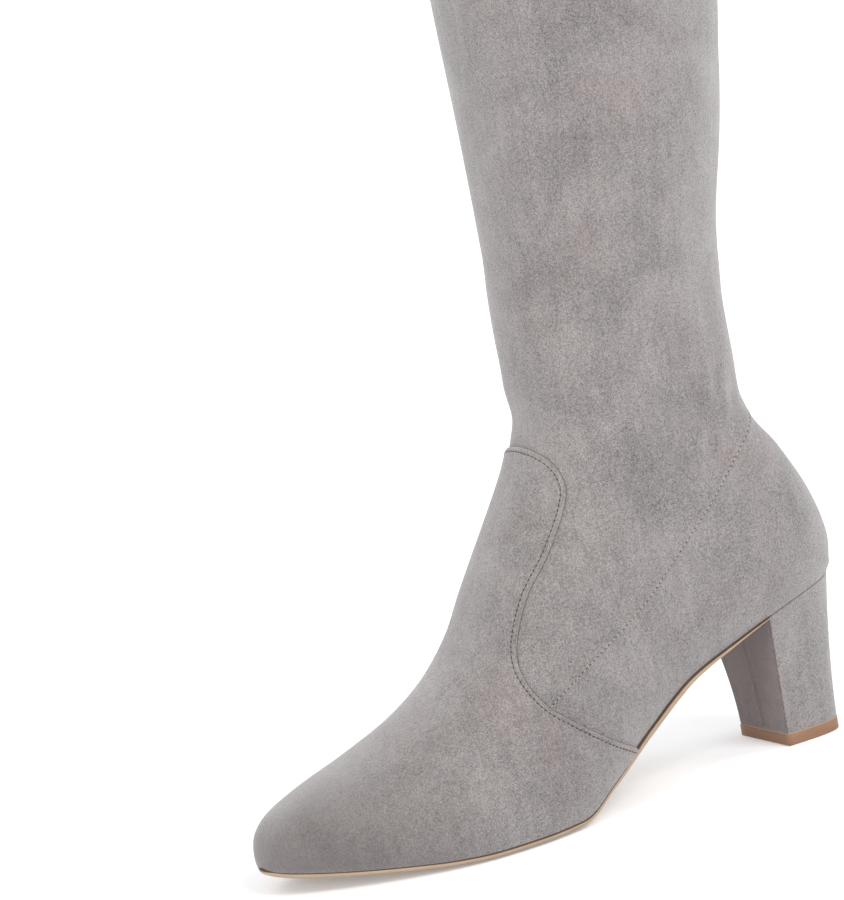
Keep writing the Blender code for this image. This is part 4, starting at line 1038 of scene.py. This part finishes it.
# The sole's edge, and the dark joint above it, partly edge ink and partly a painted shadow line, as distance out
# and height in mm
SOLE_PROFILE = ((-6.0, -0.30), (-0.5, -0.30), (0.45, -0.34), (0.85, -0.48), (1.02, -0.75), (1.06, -1.20),
                (1.02, -1.75), (0.86, -2.15), (0.50, -2.45), (-0.2, -2.75), (-1.4, -3.15), (-3.0, -3.55),
                (-5.0, -3.77), (-8.0, -3.80))
JOINT_PROFILE = ((-0.6, 0.20), (0.45, 0.22), (0.90, 0.00), (1.08, -0.45), (1.16, -0.80), (1.16, -1.15),
                 (0.4, -1.25), (-0.6, -0.60))
SOLE_START = BREAST + 0.00035
stations = HEEL_BACK + crowd_ends(260) * FOOT_LENGTH
stations = np.append(SOLE_START, stations[stations > BREAST + 0.0012])


def sole_band(name, profile, thins, lean, material):
    """A closed band along the sole's edge. thins: a table of x and the share of each depth."""
    rows = []
    for outset, height in profile:
        pair = sole_edge(stations, outset / 1000)
        for edge in pair:
            if lean:
                edge[0, 0] = SOLE_START + height / 1000 * lean
            share = np.interp(edge[:, 0], *thins) if height < 0 else 1.0
            edge[:, 2] += off_sole(edge[:, 0], height / 1000) * share
        rows.append(pair)
    loop = [pair[0] for pair in rows] + [pair[1] for pair in rows[::-1]]
    grid = np.array(loop).transpose(1, 0, 2)
    faces = quads(*grid.shape[:2], True)
    faces.append(tuple(range(grid.shape[1])))
    return new_piece(name, grid.reshape(-1, 3), faces, material, "sole", closed=True)


outsole = sole_band("outsole_body", SOLE_PROFILE, ((BREAST, 0.062), (0.28, 1.0)), 0.16, SOLE)
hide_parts("outsole")
# The dark joint, part ink and part painted shadow along the sole's top
sole_band("sole_joint_ink_and_shade", JOINT_PROFILE, ((BREAST, 0.080, 0.102), (0.16, 0.30, 1.0)), 0.0, JOINT_INK_AND_SHADE)


HEEL_GAP = 0.0003  # the heel lies this far inside the upper's edge, under it and above the lift


def heel_outline(level):
    """The heel's outline from 0 at the seat to 1 at the lift, round the back and then over the front."""
    depth = np.sin(np.linspace(0, math.pi / 2, 26))
    seat_back = HEEL_BACK + HEEL_GAP
    seat_x = BREAST + (seat_back - BREAST) * depth
    lateral, medial = sole_edge(seat_x, -HEEL_GAP)
    lateral[-1, :2] = medial[-1, :2] = (seat_back, 0)
    lift_x = LIFT_LENGTH / 2 - LIFT_LENGTH * depth
    lift_half = LIFT_WIDTH / 2 * (1 - depth**LIFT_SQUARENESS) ** (1 / LIFT_SQUARENESS)
    blend = 1 - (1 - level) ** HEEL_SWEEP
    sides = []
    for edge, side in ((lateral, 1), (medial, -1)):
        seat = np.column_stack([seat_x, edge[:, 1], sole_height(seat_x) - HEEL_GAP])
        base = np.column_stack([lift_x, side * lift_half, np.full(len(depth), LIFT_THICKNESS + HEEL_GAP)])
        place = seat * (1 - blend) + base * blend
        place[:, 2] = seat[:, 2] * (1 - level) + base[:, 2] * level
        sides.append(place)
    share = np.linspace(0, 1, 11)[1:-1, None]
    front = sides[1][:1] * (1 - share) + sides[0][:1] * share
    return np.concatenate([sides[0], sides[1][-2::-1], front])


heel_points, heel_faces = capped(np.array([heel_outline(level) for level in np.linspace(0, 1, 60)]))
heel = new_piece("heel_cover", heel_points, heel_faces, SUEDE, "suede", closed=True)
heel.data.materials.append(BREAST_SHADE_SUEDE)
# Painted shade: faces turned forward, the heel's breast, get the darker suede
for polygon in heel.data.polygons:
    polygon.material_index = int(polygon.normal.x > 0.8)
corner_bevel = heel.modifiers.new("corners", "BEVEL")
corner_bevel.width, corner_bevel.segments = 0.0007, 3
corner_bevel.limit_method, corner_bevel.angle_limit = "ANGLE", math.radians(38)
corner_bevel.harden_normals = True
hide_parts("heel")



def lift_layers(layers):
    """Points and faces of a loft on the lift's outline, from a table of z and the width drawn in."""
    top = heel_outline(1.0)
    loft = []
    for z, shrink in layers:
        layer = top + (top.mean(0) - top) * shrink / (LIFT_WIDTH / 2)
        layer[:, 2] = z
        loft.append(layer)
    return capped(np.array(loft))


LIFT_LAYERS = ((LIFT_THICKNESS, 0.0002), (LIFT_THICKNESS - 0.0003, 0.0), (0.0004, 0.0), (0.0001, 0.00015),
               (0.0, 0.0005))
lift = new_piece("lift_body", *lift_layers(LIFT_LAYERS), LIFT, "lift", closed=True)
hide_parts("heel_lift")
EDGE_LAYERS = ((LIFT_THICKNESS + 0.0004, 0.000102), (LIFT_THICKNESS - 0.0001, 0.000102))
new_piece("cover_edge", *lift_layers(EDGE_LAYERS), PALE_EDGE, "lift", closed=True)

# The seam down the heel's breast
heel_tris = np.array(halves(heel_faces))
a, b, c = (heel_points[heel_tris[:, i]] for i in range(3))
facing = np.zeros_like(heel_points)
for i in range(3):
    np.add.at(facing, heel_tris[:, i], np.cross(b - a, c - a))
if (facing * (heel_points - heel_points.mean(0))).sum() < 0:
    facing = -facing
HEEL = Surface(heel_points, unit(facing), heel_tris)
down = np.array([heel_outline(level)[-5] for level in np.linspace(0.06, 0.985, 60)])
HEEL_SEAM = ((-1.8, -0.05), (-1.1, 0.10), (-0.5, 0.19), (-0.18, 0.10), (0.0, 0.02), (0.18, 0.10), (0.5, 0.19),
             (1.1, 0.10), (1.8, -0.05))
# The breast seam carries the same painted-shade suede
ribbon("heel_seam", HEEL, down, HEEL_SEAM, BREAST_SHADE_SUEDE, step=0.0010)
ribbon("heel_crease", HEEL, down, ((-0.27, 0.17), (0.0, 0.10), (0.27, 0.17)), SHADE, step=0.0010)

# Floor, light and camera
floor = bpy.data.meshes.new("floor")
floor.from_pydata([(-30, -30, 0), (30, -30, 0), (30, 30, 0), (-30, 30, 0)], [], [(0, 1, 2, 3)])
floor_object = bpy.data.objects.new("floor", floor)
bpy.context.scene.collection.objects.link(floor_object)
n = Nodes("floor")
floor.materials.append(n.finish(n.mix(n.noise(3, 2.0), (0.79, 0.80, 0.82), (0.81, 0.82, 0.84)), 0.9,
                                Specular_IOR_Level=0.0, Emission_Color=(1, 1, 1, 1), Emission_Strength=0.20))

world = bpy.data.worlds.new("studio")
world.use_nodes = True
world.node_tree.nodes["Background"].inputs["Color"].default_value = (1.0, 1.0, 1.0, 1)
world.node_tree.nodes["Background"].inputs["Strength"].default_value = 0.72
bpy.context.scene.world = world
bpy.context.scene.view_settings.view_transform = "Standard"


def lamp(name, place, aim, size, power):
    """A soft square lamp."""
    data = bpy.data.lights.new(name, "AREA")
    data.shape, data.size, data.energy = "SQUARE", size, power
    thing = bpy.data.objects.new(name, data)
    thing.location = place
    thing.rotation_mode = "QUATERNION"
    thing.rotation_quaternion = (Vector(aim) - Vector(place)).to_track_quat("-Z", "Y")
    bpy.context.scene.collection.objects.link(thing)


lamp("key", (-0.4, 2.5, 2.3), (0.05, 0, 0.1), 1.5, 66)
lamp("back_rim", (-2.0, 0.7, 1.4), (0.05, 0, 0.2), 1.2, 16)
lamp("toe_rim", (2.2, -0.5, 2.0), (0.05, 0, 0.25), 1.2, 11)
lamp("toe_low", (2.7, 1.0, 0.9), (0.05, 0, 0.2), 1.2, 32)
lamp("inner_side", (0.1, -2.4, 1.6), (0.05, 0, 0.2), 1.6, 20)

AZIMUTH, ELEVATION, ROLL = (math.radians(angle) for angle in (151.6, 11.8, -10.1587))
DISTANCE = 3.0
PIXELS_PER_METRE = 2672.5918  # at that distance, in an image 900 pixels high
IMAGE_HEIGHT = 900
SENSOR = 36
level = math.cos(ELEVATION)
back = Vector((math.sin(AZIMUTH) * level, -math.cos(AZIMUTH) * level, math.sin(ELEVATION)))
right = Vector((math.cos(AZIMUTH), math.sin(AZIMUTH), 0))
up = back.cross(right)
right, up = right * math.cos(ROLL) + up * math.sin(ROLL), up * math.cos(ROLL) - right * math.sin(ROLL)
camera_data = bpy.data.cameras.new("camera")
camera_data.sensor_width = SENSOR
camera_data.lens = PIXELS_PER_METRE * DISTANCE / IMAGE_HEIGHT * SENSOR
camera_data.clip_start, camera_data.clip_end = 0.05, 60
camera = bpy.data.objects.new("camera", camera_data)
target = Vector((0.03, 0, 0.20)) + right * -0.0825 + up * -0.0780
turn = Matrix((right, up, back)).transposed().to_4x4()
camera.matrix_world = Matrix.Translation(target + back * DISTANCE) @ turn
bpy.context.scene.collection.objects.link(camera)
bpy.context.scene.camera = camera
